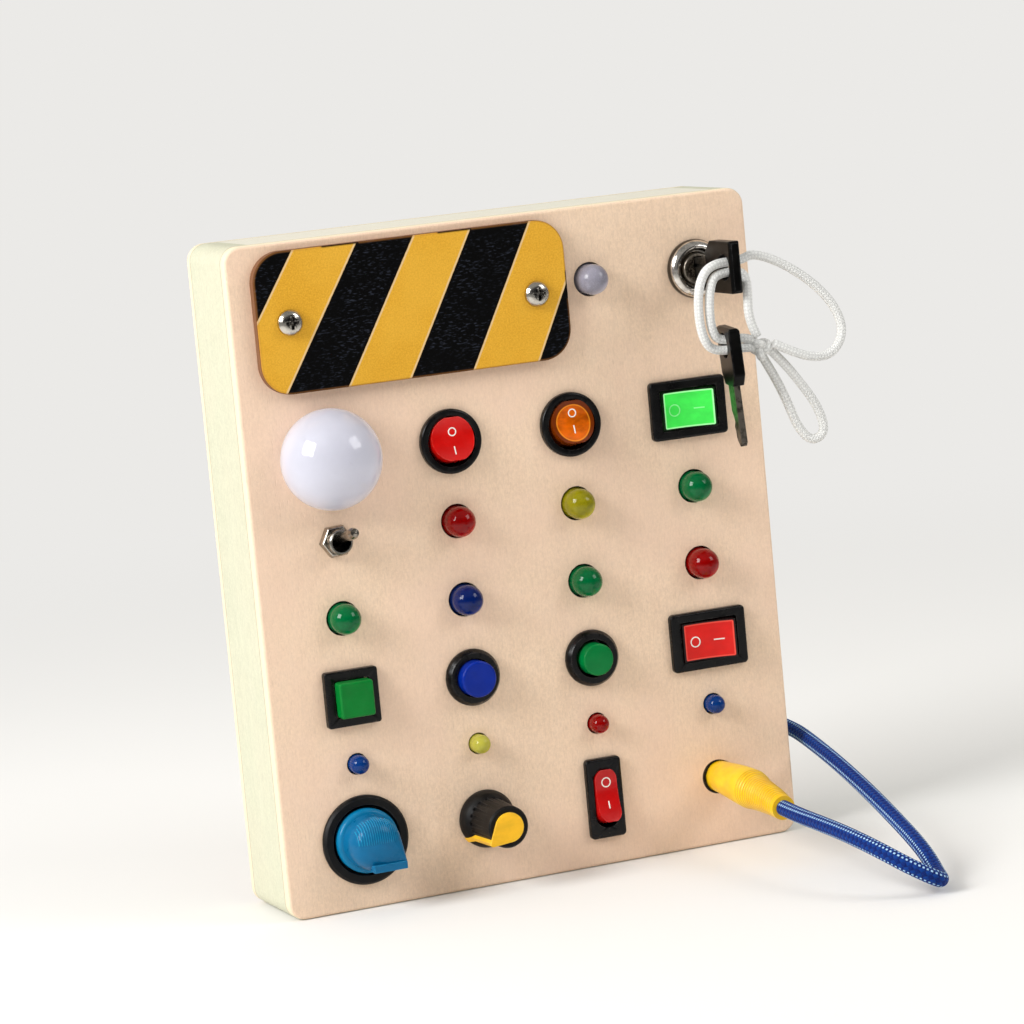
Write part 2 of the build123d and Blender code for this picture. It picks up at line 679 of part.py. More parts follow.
def key_blade(plane):
    """Steel blade with its bitting and a groove, and the tang inside the grip."""
    low, high = BLADE_SHIFT - BLADE_HALF, BLADE_SHIFT + BLADE_HALF
    with BuildPart() as blade:
        with BuildSketch(plane):
            with BuildLine():
                Polyline((4.95, low), (25.6, low), (26.8, low + 1.4), (25.6, low + 3.6), (24.4, low + 4.4),
                         (23.0, low + 4.4), (21.8, low + 5.2), (20.4, low + 4.0), (19.0, low + 4.8),
                         (17.8, high), (4.95, high), close=True)
            make_face()
        extrude(amount=KEY_THICK / 2, both=True)
        with BuildSketch(plane.offset(KEY_THICK / 2)):
            with Locations((18.6, low + 2.0)):
                Rectangle(14.0, 0.9)
        extrude(amount=-0.6, mode=Mode.SUBTRACT)
    return blade.part


key_hole = Vector(LOCK[0], FRONT - KEY_HOLE_OUT, LOCK[1] + BLADE_SHIFT)
turned_key = Plane(origin=key_hole, x_dir=(0, 1, 0), z_dir=(-1, 0, 0))
down = Vector(math.sin(math.radians(SPARE_LEAN)), 0, -math.cos(math.radians(SPARE_LEAN)))
wide = Vector(math.sin(math.radians(SPARE_YAW)), math.cos(math.radians(SPARE_YAW)), 0)
spare_normal = down.cross(wide).normalized()
hanging_key = Plane(origin=SPARE_HOLE, x_dir=down, z_dir=spare_normal)

with BuildPart() as key_grip:
    add(key_head(turned_key))
finish(key_grip, "key_head")

with BuildPart() as key_steel:
    add(key_blade(turned_key))
finish(key_steel, "key_blade")

with BuildPart() as spare_grip:
    add(key_head(hanging_key))
finish(spare_grip, "spare_key_head")

with BuildPart() as spare_steel:
    add(key_blade(hanging_key))
finish(spare_steel, "spare_key_blade")


# ---------------------------------------------------------------- cords
def corner_radii(points):
    """Largest tangent arc that each corner of a route has room for."""
    radii = []
    for before, here, after in zip(points, points[1:], points[2:]):
        one = Vector(*here) - Vector(*before)
        two = Vector(*after) - Vector(*here)
        half_turn = math.radians(one.get_angle(two)) / 2
        radii.append(0.45 * min(one.length, two.length) / math.tan(half_turn))
    return radii


def cord_tube(points, radius, name):
    """Tube along straight runs joined by tangent arcs."""
    radii = corner_radii(points)
    with BuildPart() as tube:
        with BuildLine() as route:
            FilletPolyline(*points, radius=radii)
        start = route.wires()[0] @ 0
        way = route.wires()[0] % 0
        with BuildSketch(Plane(origin=start, z_dir=way)):
            Circle(radius)
        sweep(path=route.wires()[0])
    length = route.wires()[0].length
    expected = math.pi * radius**2 * length
    print(f"{name}: length {length:.1f}, tightest arc {min(radii):.1f}, volume ratio {tube.part.volume / expected:.4f}")
    return tube.part


CORD_END = CORD_EXIT[0] - BAR - 2.0
PLUG_CORD_ROUTE = [
    PLUG_TAIL,
    (50.1, -64.0, 15.4),
    (50.5, -74.0, 15.0),
    (51.2, -85.0, 14.3),
    (52.2, -95.0, 13.1),
    (54.4, -103.0, 11.0),
    (58.0, -108.2, 8.0),
    (65.4, -111.0, 3.4),
    (68.9, -102.4, 2.9),
    (70.2, -95.0, 6.2),
    (71.4, -86.0, 9.0),
    (72.8, -75.0, 11.6),
    (74.3, -61.0, 15.0),
    (75.9, -46.0, 18.2),
    (77.5, -31.0, 20.9),
    (79.2, -16.0, 23.0),
    (80.3, -3.0, 24.8),
    (77.2, CORD_EXIT[1], CORD_EXIT[2]),
    (CORD_END, CORD_EXIT[1], CORD_EXIT[2]),
]
with BuildPart() as plug_cord:
    add(cord_tube(PLUG_CORD_ROUTE, CORD_RADIUS, "plug_cord"))
finish(plug_cord, "plug_cord")

with BuildPart() as stop_knot:
    with Locations((CORD_END - 2.4, CORD_EXIT[1], CORD_EXIT[2])):
        Sphere(3.9)
    split(bisect_by=Plane.YZ.offset(CORD_END), keep=Keep.BOTTOM)
finish(stop_knot, "stop_knot")

spare_hole = Vector(*SPARE_HOLE)


def through(hole, normal, lift, reach):
    """Point on the way through a key's hole, lifted off the hole's middle."""
    point = hole + normal * reach + Vector(0, 0, lift)
    return (point.X, point.Y, point.Z)


RIGHT = Vector(1, 0, 0)
SPARE_RIGHT = spare_normal if spare_normal.X > 0 else -spare_normal
STRAND = 1.3  # half the spacing of two strands in one hole
RING_ROUTE = [
    (61.7, -39.6, 136.6),
    (59.7, -39.4, 141.2),
    (60.7, -38.2, 147.8),
    through(key_hole, RIGHT, -STRAND, 4.6),
    through(key_hole, RIGHT, -STRAND, -5.6),
    (50.5, -37.2, 148.2),
    (50.0, -37.4, 142.4),
    through(spare_hole, SPARE_RIGHT, STRAND, -5.0),
    through(spare_hole, SPARE_RIGHT, STRAND, 4.6),
    (61.4, -38.8, 135.4),
]
BIG_LOOP_ROUTE = [
    (65.4, -41.0, 134.4),
    (70.4, -42.0, 131.6),
    (76.2, -42.0, 129.4),
    (82.4, -41.2, 129.6),
    (86.6, -40.2, 135.0),
    (84.8, -39.0, 142.4),
    (78.8, -38.0, 149.4),
    (70.6, -37.2, 155.2),
    (63.6, -36.8, 158.0),
    through(key_hole, RIGHT, STRAND, 3.6),
    through(key_hole, RIGHT, STRAND, -7.4),
    (47.0, -37.0, 149.4),
    (46.8, -37.2, 141.4),
    through(spare_hole, SPARE_RIGHT, -STRAND, -6.8),
    through(spare_hole, SPARE_RIGHT, -STRAND, 4.2),
    (61.0, -38.9, 133.8),
]
SMALL_LOOP_ROUTE = [
    (62.6, -38.2, 132.4),
    (66.4, -37.4, 126.2),
    (69.8, -37.2, 118.6),
    (72.2, -37.4, 111.2),
    (75.8, -37.8, 107.0),
    (79.8, -38.4, 109.2),
    (77.8, -38.8, 116.2),
    (73.2, -39.2, 123.0),
    (68.4, -39.6, 129.2),
    (65.0, -39.6, 132.8),
]
with BuildPart() as key_cord:
    add(cord_tube(RING_ROUTE, STRING_RADIUS, "key_cord ring"))
    add(cord_tube(BIG_LOOP_ROUTE, STRING_RADIUS, "key_cord big loop"))
    add(cord_tube(SMALL_LOOP_ROUTE, STRING_RADIUS, "key_cord small loop"))
finish(key_cord, "key_cord")

with BuildPart() as cord_knot:
    with Locations(KNOT):
        Sphere(3.3)
finish(cord_knot, "cord_knot")

# ---------------------------------------------------------------- plug and its socket
tail_way = (Vector(*PLUG_CORD_ROUTE[1]) - Vector(*PLUG_CORD_ROUTE[0])).normalized()
STATIONS = [(0.0, PLUG_RADIUS, 0.0, 0.0), (4.0, 4.4, -0.05, 0.05), (8.0, 4.7, -0.1, 0.1), (12.0, 4.95, -0.2, 0.2),
            (16.0, 5.15, -0.3, 0.3), (20.0, 5.25, -0.4, 0.5), (22.0, 5.0, -0.5, 0.6), (24.0, 4.6, -0.6, 0.8),
            (28.0, 4.2, -0.7, 1.1), (34.0, 3.75, -0.9, 1.6)]  # out, radius, sideways, down
with BuildPart() as plug_body:
    add(rod(*PLUG, PLUG_RADIUS, -2.6, 0.0))
    for out, radius, side, sag in STATIONS:
        with BuildSketch(facing(PLUG[0] + side, PLUG[1] - sag, out)):
            Circle(radius)
    with BuildSketch(Plane(origin=PLUG_TAIL, x_dir=(1, 0, 0), z_dir=tail_way)):
        Circle(3.2)
    loft(ruled=True)
finish(plug_body, "plug_body")

with BuildPart() as plug_pin:
    add(turned(*PLUG, [(0, -16.6), (1.6, -16.6), (2.9, -15.2), (2.3, -13.4), (3.1, -12.2), (3.1, -2.6), (0, -2.6)]))
finish(plug_pin, "plug_pin")

with BuildPart() as socket:
    with BuildSketch(facing(*PLUG, BEHIND)):
        RectangleRounded(12.4, 12.4, 1.5)
        Circle(3.2, mode=Mode.SUBTRACT)
    extrude(amount=-15.0)
finish(socket, "socket")

# ---------------------------------------------------------------- battery compartment
CASE_WALL = 1.2
CASE_FLOOR = -4.6  # y of the compartment's outer floor
with BuildPart() as battery_case:
    with BuildSketch(Plane.XZ.offset(-BACK_INNER)):
        with Locations(LID_CENTRE):
            RectangleRounded(LID[0] + 3.0, CASE_INSIDE[1] + 2 * CASE_WALL, 1.0)
    extrude(amount=1.4)
    with BuildSketch(Plane.XZ.offset(-BACK_INNER)):
        with Locations(CELLS):
            RectangleRounded(CASE_INSIDE[0] + 2 * CASE_WALL, CASE_INSIDE[1] + 2 * CASE_WALL, 1.0)
    extrude(amount=BACK_INNER - CASE_FLOOR)
    add(rod(*LID_SCREW, 2.9, -DEPTH + PANEL, -19.0))
    with BuildSketch(Plane.XZ.offset(-BACK_INNER)):
        with Locations(CELLS):
            Rectangle(*CASE_INSIDE)
    extrude(amount=BACK_INNER - CASE_FLOOR - CASE_WALL, mode=Mode.SUBTRACT)
    add(rod(*LID_SCREW, 1.25, -DEPTH, -20.0), mode=Mode.SUBTRACT)
finish(battery_case, "battery_case")

with BuildPart() as battery_cells:
    for side in (-1, 1):
        spine = Plane(origin=(CELLS[0], 4.2, CELLS[1] + side * 7.4), x_dir=(0, 1, 0), z_dir=(side, 0, 0))
        with BuildSketch(spine):
            Circle(CELL_RADIUS)
        extrude(amount=CELL_LENGTH / 2 - 1.5, both=True)
        with BuildSketch(spine.offset(CELL_LENGTH / 2 - 1.5)):
            Circle(2.7)
        extrude(amount=1.5)
finish(battery_cells, "battery_cells")

with BuildPart() as battery_contacts:
    for side in (-1, 1):
        x = CELLS[0] + side * (CASE_INSIDE[0] / 2 - 0.25)
        add(bar(x - 0.25, x + 0.25, 0.2, 8.2, CELLS[1] - 11.0, CELLS[1] + 11.0))
finish(battery_contacts, "battery_contacts")

with BuildPart() as battery_lid:
    with BuildSketch(Plane.XZ.offset(-BACK_INNER)):
        with Locations(LID_CENTRE):
            RectangleRounded(*LID, 1.0)
    extrude(amount=-(PANEL - 0.2))
    add(rod(*LID_SCREW, 1.3, -DEPTH, -DEPTH + PANEL), mode=Mode.SUBTRACT)
    add(rod(*LID_SCREW, 2.5, -DEPTH, -DEPTH + 1.2), mode=Mode.SUBTRACT)
    for offset in range(3):
        with BuildSketch(facing(LID_CENTRE[0] - 26.0 + 2.2 * offset, LID_CENTRE[1], -DEPTH)):
            SlotOverall(14.0, 1.0, rotation=90)
        extrude(amount=0.8, mode=Mode.SUBTRACT)
finish(battery_lid, "battery_lid")

with BuildPart() as lid_screw:
    add(turned(*LID_SCREW, [(0, -22.0), (1.15, -22.0), (1.15, -DEPTH + 1.2), (2.4, -DEPTH + 1.2), (2.4, -DEPTH + 0.4),
                            (0, -DEPTH + 0.4)]))
finish(lid_screw, "lid_screw")
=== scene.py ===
"""Looks for a wooden busy board: box, striped plate, lamps, switches, keys on strings and a corded plug."""

import functools
import math

import bmesh
import bpy
from bpy.props import FloatProperty, FloatVectorProperty, IntProperty, PointerProperty
from mathutils import Matrix, Vector


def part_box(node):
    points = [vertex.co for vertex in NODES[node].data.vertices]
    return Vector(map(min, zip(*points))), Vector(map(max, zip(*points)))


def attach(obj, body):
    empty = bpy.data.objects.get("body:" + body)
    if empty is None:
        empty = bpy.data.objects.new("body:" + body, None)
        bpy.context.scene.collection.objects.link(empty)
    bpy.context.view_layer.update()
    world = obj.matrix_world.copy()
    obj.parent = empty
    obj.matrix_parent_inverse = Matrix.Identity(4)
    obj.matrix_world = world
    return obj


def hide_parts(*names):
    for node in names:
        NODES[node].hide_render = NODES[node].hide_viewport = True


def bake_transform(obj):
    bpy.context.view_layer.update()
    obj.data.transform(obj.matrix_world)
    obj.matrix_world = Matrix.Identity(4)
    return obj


bl_info = {
    "name": "Wooden busy board",
    "version": (1, 0, 0),
    "blender": (4, 5, 0),
    "location": "3D View > Sidebar > Busy board",
    "description": "Dresses the busy board's pieces with their shapes, materials and cords",
    "category": "Object",
}

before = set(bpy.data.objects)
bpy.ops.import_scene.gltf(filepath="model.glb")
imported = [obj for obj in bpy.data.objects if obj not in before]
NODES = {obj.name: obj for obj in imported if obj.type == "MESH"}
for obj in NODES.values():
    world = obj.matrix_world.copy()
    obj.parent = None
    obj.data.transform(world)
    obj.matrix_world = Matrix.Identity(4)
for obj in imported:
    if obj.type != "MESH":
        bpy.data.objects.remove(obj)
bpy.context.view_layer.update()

MM = 0.001
FULL_TURN = 2 * math.pi
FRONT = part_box("front_panel")[0].y / MM  # plane of the front face, in millimetres
PANEL_JOINT = 0.012  # the panels meet the bars at this distance from the middle, in metres

# places on the board's face, in millimetres: the controls stand in columns and rows
COLUMNS = [-50.55, -16.65, 17.25, 51.15]
ROWS = [18.2, 38.1, 55.7, 76.2, 96.8, 117.7]
TOGGLE = (COLUMNS[0], 96.4)
LOCK = (56.7, 154.05)
PLATE_SCREWS = [(-57.8, 153.6), (10.2, 152.9)]
# middle of the shade painted in the plug's hole, 0.35 mm left of the column so that its dark crescent shows
# on the pin's left
HOLE_SHADE_MIDDLE = (COLUMNS[3] - 0.35, ROWS[0] + 0.1)


def paint(red, green, blue):
    """Display colour from 0 to 255 as the linear colour of a shader socket."""
    return tuple(pow(value / 255, 2.2) for value in (red, green, blue)) + (1.0,)


def shade(colour, factor):
    """The same colour, darker or lighter."""
    return tuple(min(1.0, value * factor) for value in colour[:3]) + (1.0,)


def rgba(colour):
    """A setting's colour for a shader socket."""
    return tuple(colour) + (1.0,)


def spot(x, z, out=0.0):
    """Point in millimetres in front of the board's face, as metres."""
    return Vector((x, FRONT - out, z)) * MM


# ---------------------------------------------------------------- node trees
class Net:
    """A node tree written line by line."""

    def __init__(self, tree):
        self.tree = tree

    def feed(self, socket, value):
        if isinstance(value, bpy.types.NodeSocket):
            self.tree.links.new(value, socket)
        else:
            socket.default_value = value

    def fill(self, node, inputs):
        for name, value in inputs.items():
            self.feed(node.inputs[name], value)

    def add(self, kind, inputs=None, **settings):
        node = self.tree.nodes.new(kind)
        for name, value in settings.items():
            setattr(node, name, value)
        self.fill(node, inputs or {})
        return node

    def math(self, operation, *values, clamp=False):
        """One step of arithmetic. The names below stand for the steps that are used most."""
        node = self.add("ShaderNodeMath", operation=operation, use_clamp=clamp)
        for socket, value in zip(node.inputs, values):
            self.feed(socket, value)
        return node.outputs[0]

    times = functools.partialmethod(math, "MULTIPLY")
    plus = functools.partialmethod(math, "ADD")
    minus = functools.partialmethod(math, "SUBTRACT")
    size = functools.partialmethod(math, "ABSOLUTE")
    most = functools.partialmethod(math, "MAXIMUM")
    least = functools.partialmethod(math, "MINIMUM")
    root = functools.partialmethod(math, "SQRT")
    part = functools.partialmethod(math, "FRACT")
    floor = functools.partialmethod(math, "FLOOR")
    sine = functools.partialmethod(math, "SINE")

    def reach(self, one, two):
        """Length of the line whose sides along the two axes are given."""
        return self.root(self.plus(self.times(one, one), self.times(two, two)))

    def step(self, value, low, high, first=0.0, last=1.0):
        """Smooth change from first to last while value goes from low to high."""
        inputs = dict(enumerate((value, low, high, first, last)))
        return self.add("ShaderNodeMapRange", inputs, interpolation_type="SMOOTHSTEP").outputs[0]

    def mix(self, factor, one, two):
        return self.add("ShaderNodeMix", {0: factor, 6: one, 7: two}, data_type="RGBA").outputs[2]

    def tint(self, colour, mask, amount, other):
        """The colour with some of another one where the mask is."""
        return self.mix(self.times(mask, amount), colour, other)

    def noise(self, place, scale, detail=2.0, roughness=0.5):
        inputs = {"Vector": place, "Scale": scale, "Detail": detail, "Roughness": roughness}
        return self.add("ShaderNodeTexNoise", inputs).outputs[0]

    def stretch(self, place, x, y, z):
        return self.add("ShaderNodeVectorMath", {0: place, 1: (x, y, z)}, operation="MULTIPLY").outputs[0]

    def agree(self, one, two):
        """Near 1 where two directions are the same."""
        return self.add("ShaderNodeVectorMath", {0: one, 1: two}, operation="DOT_PRODUCT").outputs["Value"]

    def split(self, place):
        return self.add("ShaderNodeSeparateXYZ", {0: place}).outputs

    def place(self, kind="Object"):
        return self.add("ShaderNodeTexCoord").outputs[kind]

    def facing(self, kind="Normal"):
        return self.add("ShaderNodeNewGeometry").outputs[kind]

    def bump(self, height, distance, strength=1.0):
        inputs = {"Height": height, "Distance": distance, "Strength": strength}
        return self.add("ShaderNodeBump", inputs).outputs[0]

    def group(self, effect, *inputs):
        """Outputs of a shared effect's node group, given its inputs in order."""
        return self.add("ShaderNodeGroup", dict(enumerate(inputs)), node_tree=effect()).outputs


def shared(name, taken, given):
    """Turn a function that draws an effect into one that hands out its node group, built the first time.

    Taken maps the names of the inputs to their defaults, None for a place; given names the outputs in order.
    """
    def wrap(draw):
        @functools.wraps(draw)
        def find():
            if name not in bpy.data.node_groups:
                tree = bpy.data.node_groups.new(name, "ShaderNodeTree")
                for label, value in taken.items():
                    kind = "NodeSocketVector" if value is None else "NodeSocketFloat"
                    socket = tree.interface.new_socket(name=label, in_out="INPUT", socket_type=kind)
                    if value is not None:
                        socket.default_value = value
                for label in given:
                    tree.interface.new_socket(name=label, in_out="OUTPUT", socket_type="NodeSocketFloat")
                net = Net(tree)
                drawn = draw(net, *net.add("NodeGroupInput").outputs[:len(taken)])
                net.add("NodeGroupOutput", dict(zip(given, drawn)) if len(given) > 1 else {given[0]: drawn})
            return bpy.data.node_groups[name]
        return find
    return wrap


@shared("Wood grain", {"Place": None, "Fibres per metre": 900.0, "Contrast": 1.0},
        ["Streaks", "Pores", "Blush", "Height"])
def wood_grain(net, place, fibres, contrast):
    """Long fine fibres along Z, short pores and slow blushes."""
    fine = net.noise(net.stretch(place, 1, 1, 0.1), fibres, 4, 0.65)
    broad = net.noise(net.stretch(place, 1, 1, 0.05), net.times(fibres, 0.22), 3, 0.55)
    streaks = net.plus(net.times(fine, 0.6), net.times(broad, 0.4))
    streaks = net.plus(net.times(net.minus(streaks, 0.5), contrast), 0.5, clamp=True)
    pores = net.step(net.noise(net.stretch(place, 1, 1, 0.16), net.times(fibres, 1.9), 1, 0.4), 0.64, 0.74)
    blush = net.noise(net.stretch(place, 1, 1, 0.5), 34.0, 3, 0.55)
    return streaks, pores, blush, net.minus(streaks, net.times(pores, 0.6))


@shared("Moulded skin", {"Place": None, "Pebbles per metre": 3000.0, "Shine": 0.3, "Handling": 0.1},
        ["Roughness", "Height", "Smear"])
def moulded_skin(net, place, pebbles, shine, handling):
    """Fine pebbled skin of a moulding and the uneven shine of handling."""
    height = net.noise(place, pebbles, 2, 0.5)
    smear = net.noise(net.stretch(place, 1, 1, 1.6), 160.0, 4, 0.6)
    return net.plus(shine, net.times(net.minus(smear, 0.45), handling), clamp=True), height, smear


@shared("Edge rub", {"Place": None, "Width": 0.0004, "Amount": 1.0}, ["Edge"])
def edge_rub(net, place, width, amount):
    """Mask of the outer edges, where handling rubs a finish pale."""
    rounded = net.add("ShaderNodeBevel", {"Radius": width}, samples=3).outputs[0]
    bend = net.agree(rounded, net.facing())
    worn = net.step(net.noise(place, 700.0, 3, 0.6), 0.35, 0.7)
    return net.times(net.step(bend, 0.995, 0.86), net.times(worn, amount), clamp=True)


@shared("Dust film", {"Place": None, "Amount": 0.1}, ["Dust"])
def dust_film(net, place, amount):
    """Faint settled dust: more on level and upward faces."""
    level = net.step(net.split(net.facing())[2], -0.3, 1.0, 0.25, 1.0)
    cloud = net.step(net.noise(place, 240.0, 4, 0.6), 0.4, 0.75)
    return net.times(net.times(level, cloud), amount, clamp=True)


@shared("Cord braid", {"Strands": 8.0, "Crossings per metre": 900.0}, ["Over", "Height", "Family", "Fuzz"])
def braid(net, strands, crossings):
    """Two families of strands plaited over and under around a cord, from its UV map."""
    around, along, _ = net.split(net.place("UV"))
    turn = net.times(around, strands)
    run = net.times(along, crossings)
    one = net.plus(turn, run)
    two = net.minus(turn, run)
    even = net.part(net.times(net.plus(net.floor(one), net.floor(two)), 0.5))
    family = net.math("GREATER_THAN", even, 0.25)
    humps = []
    for strand in (one, two):
        centred = net.minus(net.times(net.part(strand), 2.0), 1.0)
        humps.append(net.minus(1.0, net.times(centred, centred)))
    over, under = (net.plus(net.times(first, family), net.times(other, net.minus(1.0, family)))
                   for first, other in (humps, humps[::-1]))
    height = net.times(over, net.plus(0.45, net.times(under, 0.55)))
    spread = {0: net.times(around, 20.0), 1: net.times(along, 1800.0)}
    lint = net.noise(net.add("ShaderNodeCombineXYZ", spread).outputs[0], 1.6, 3, 0.7)
    return over, height, family, lint


@shared("Outline distance", {"Place": None, "Centre X": 0.0, "Centre Z": 0.0, "Half X": 0.01, "Half Z": 0.01,
                             "Corner": 0.002}, ["Distance"])
def outline_distance(net, place, centre_x, centre_z, half_x, half_z, corner):
    """Distance outside a rounded rectangle that stands upright in the XZ plane, negative inside."""
    x, _, z = net.split(place)
    past = [net.plus(net.minus(net.size(net.minus(value, centre)), half), corner)
            for value, centre, half in ((x, centre_x, half_x), (z, centre_z, half_z))]
    far = net.reach(*(net.most(side, 0.0) for side in past))
    inner = net.least(net.most(*past), 0.0)
    return net.minus(net.plus(far, inner), corner)


@shared("Turning marks", {"Place": None, "Centre X": 0.0, "Centre Z": 0.0, "Circles per metre": 4000.0},
        ["Height", "Radius"])
def turning_marks(net, place, centre_x, centre_z, circles):
    """Fine circles left by turning, about a line square to the board's face."""
    x, _, z = net.split(place)
    radius = net.reach(net.minus(x, centre_x), net.minus(z, centre_z))
    line = net.add("ShaderNodeCombineXYZ", {0: radius}).outputs[0]
    return net.noise(line, circles, 2, 0.6), radius


# ---------------------------------------------------------------- materials
FINISHES = {}


def once(build):
    """Turn a function that makes a finish into one that makes each name's finish only once."""
    @functools.wraps(build)
    def find(name, *given, **named):
        if name not in FINISHES:
            FINISHES[name] = build(name, *given, **named)
        return FINISHES[name]
    return find


def new_material(name):
    """Material with only a Principled shader: the material, its net and the shader."""
    material = bpy.data.materials.new(name)
    material.use_nodes = True
    net = Net(material.node_tree)
    net.tree.nodes.clear()
    shader = net.add("ShaderNodeBsdfPrincipled")
    net.add("ShaderNodeOutputMaterial", {0: shader.outputs[0]})
    return material, net, shader


@once
def wood(name, light, dark, along="Z", plies=False, fibres=900.0, contrast=1.0, open_pores=0.16):
    """Clear-finished wood, with a thin dark line where a panel meets a bar.

    Plies draws the layers on the sheet's edges and paints shade in the plug's hole, a dark gap around the
    pin.
    """
    material, net, shader = new_material(name)
    own = net.place()
    place = own
    if along == "X":
        x, y, z = net.split(own)
        place = net.add("ShaderNodeCombineXYZ", {0: z, 1: y, 2: x}).outputs[0]
    streaks, pores, blush, height = net.group(wood_grain, place, fibres, contrast)
    colour = net.mix(net.step(streaks, 0.3, 0.72), dark, light)
    colour = net.tint(colour, net.step(blush, 0.35, 0.7), 0.35, shade(light, 1.04))
    colour = net.tint(colour, pores, open_pores, shade(dark, 0.62))
    speck = net.step(net.noise(net.stretch(own, 1, 1, 0.7), 1900.0, 3, 0.75), 0.38, 0.66)
    colour = net.tint(colour, speck, 0.7, shade(light, 1.12))
    stroke = net.step(net.noise(net.stretch(place, 1, 1, 0.15), 2400.0, 2, 0.6), 0.52, 0.68)
    colour = net.tint(colour, stroke, 0.35, shade(dark, 0.86))
    patch = net.step(net.noise(own, 26.0, 3, 0.6), 0.38, 0.66)
    colour = net.tint(colour, patch, 0.45 if plies else 0.1, net.mix(0.5, light, paint(240, 198, 180)))
    depth = net.split(own)[1]
    if plies:
        facing = net.size(net.split(net.facing("True Normal"))[1])
        line = net.size(net.minus(net.part(net.times(depth, 1000.0)), 0.5))  # one ply to the millimetre
        edge = net.tint(paint(232, 222, 192), net.step(line, 0.38, 0.5), 0.45, paint(196, 164, 128))
        edge = net.tint(edge, net.noise(net.stretch(own, 0.4, 1, 1), 900.0, 3), 0.3, paint(214, 192, 156))
        colour = net.mix(net.step(facing, 0.75, 0.35), colour, edge)
    rub = net.group(edge_rub, own, 0.0009, 0.55)[0]
    colour = net.mix(rub, colour, shade(light, 1.12))
    joint = net.step(net.size(net.minus(net.size(depth), PANEL_JOINT)), 0.00026, 0.00008)
    colour = net.tint(colour, joint, 0.6, paint(128, 92, 58))
    if plies:
        # painted shade: the plywood at the front of the plug's hole turns dark, as shade in the gap around
        # the pin
        gap = net.step(turned(net, *HOLE_SHADE_MIDDLE)[1], 0.00466, 0.00448)
        colour = net.tint(colour, gap, net.step(depth, -0.009, -0.011), paint(14, 9, 6))
    dust = net.group(dust_film, own, 0.08)[0]
    net.fill(shader, {"Base Color": net.mix(dust, colour, paint(238, 234, 226)),
                      "Roughness": net.step(streaks, 0.2, 0.8, 0.62, 0.48),
                      "Specular IOR Level": 0.25, "Normal": net.bump(height, 0.00007, 0.7)})
    return material


def plywood():
    look = bpy.context.scene.busy_board_box
    return wood("plywood", rgba(look.face_light), rgba(look.face_dark), "Z", True, 1500.0, 0.8, 0.07)


def pine(along):
    look = bpy.context.scene.busy_board_box
    # the top and bottom bars take a paler copy of the pine, painted light for the light on the top bar
    light = rgba(look.side_light if along == "Z" else look.end_painted_light)
    return wood("pine_" + along.lower(), light, shade(light, 0.9), along, fibres=600.0)


@once
def plastic(name, colour, shine=0.28, pebbles=2600.0, depth=0.00001, handling=0.12, coat=0.0, rub=None,
            dust=0.02, glow=0.0, clear=0.0, mottle=1.0, mirror=0.25, frame_of=None, others=()):
    """Moulded plastic with its skin, handling smears, rubbed edges and a little dust.

    frame_of is (x, z, half width, half height, corner, dark, pale): outside that outline the face turns
    to the dark colour, with a thin pale line along it. Others are more of the shader's inputs by name.
    """
    material, net, shader = new_material(name)
    place = net.place()
    rough, height, smear = net.group(moulded_skin, place, pebbles, shine, handling)
    dull, bright = shade(colour, 1 - 0.12 * mottle), shade(colour, 1 + 0.06 * mottle)
    tone = net.mix(net.step(smear, 0.3, 0.7), dull, bright)
    if rub is not None:
        tone = net.mix(net.group(edge_rub, place, 0.0004, 0.6)[0], tone, rub)
    if frame_of is not None:
        *outline, dark, pale = frame_of
        away = net.group(outline_distance, place, *(length * MM for length in outline))[0]
        tone = net.tint(tone, net.step(away, -0.0005, -0.00015), 0.6, pale)
        tone = net.mix(net.step(away, -0.0001, 0.0001), tone, dark)
    tone = net.mix(net.group(dust_film, place, dust)[0], tone, paint(206, 200, 190))
    net.fill(shader, {"Base Color": tone, "Roughness": rough, "Normal": net.bump(height, depth, 0.5),
                      "Specular IOR Level": mirror, "Coat Weight": coat, "Coat Roughness": 0.06,
                      "Transmission Weight": clear, **dict(others)})
    if glow:
        net.fill(shader, {"Emission Color": tone, "Emission Strength": glow})
    return material


def turned(net, x, z, circles=4000.0):
    """Height and radius of the turning marks about a point of the board's face, in millimetres."""
    return net.group(turning_marks, net.place(), x * MM, z * MM, circles)


@once
def metal(name, colour, shine=0.12, centre=None, circles=5000.0, grime=0.25, hollows=(), rings=()):
    """Plated metal with turning marks and grime.

    Hollows are (x, z, radius) of round spots darkened in patches towards their middle, rings (radius, width)
    of dark lines about the centre.
    """
    material, net, shader = new_material(name)
    place = net.place()
    if centre is None:
        height = net.noise(net.stretch(place, 1, 6, 1), 1400.0, 3, 0.6)
    else:
        height = turned(net, *centre, circles)[0]
    cloud = net.noise(place, 500.0, 4, 0.65)
    tone = net.tint(colour, net.step(cloud, 0.42, 0.66), grime, shade(colour, 0.3))
    for x, z, reach in hollows:
        patchy = net.step(net.noise(place, 1500.0, 3, 0.7), 0.36, 0.52, 0.25, 0.95)
        deep = net.step(turned(net, x, z)[1], reach * MM, reach * 0.6 * MM)
        tone = net.tint(tone, deep, patchy, shade(colour, 0.06))
    for reach, width in rings:
        off = net.size(net.minus(turned(net, *centre)[1], reach * MM))
        tone = net.mix(net.step(off, width * MM, width * 0.5 * MM), tone, shade(colour, 0.12))
    tone = net.mix(net.group(edge_rub, place, 0.0003, 0.7)[0], tone, shade(colour, 1.15))
    rough = net.step(net.plus(cloud, net.times(height, 0.4)), 0.4, 1.0, shine, shine + 0.16)
    net.fill(shader, {"Base Color": tone, "Metallic": 1.0, "Roughness": rough,
                      "Normal": net.bump(height, 0.000012, 0.35)})
    return material


BULB_GLOW = (0.55, -0.1, -0.83)  # light from the left gathers in a bulb on this side, low on the right


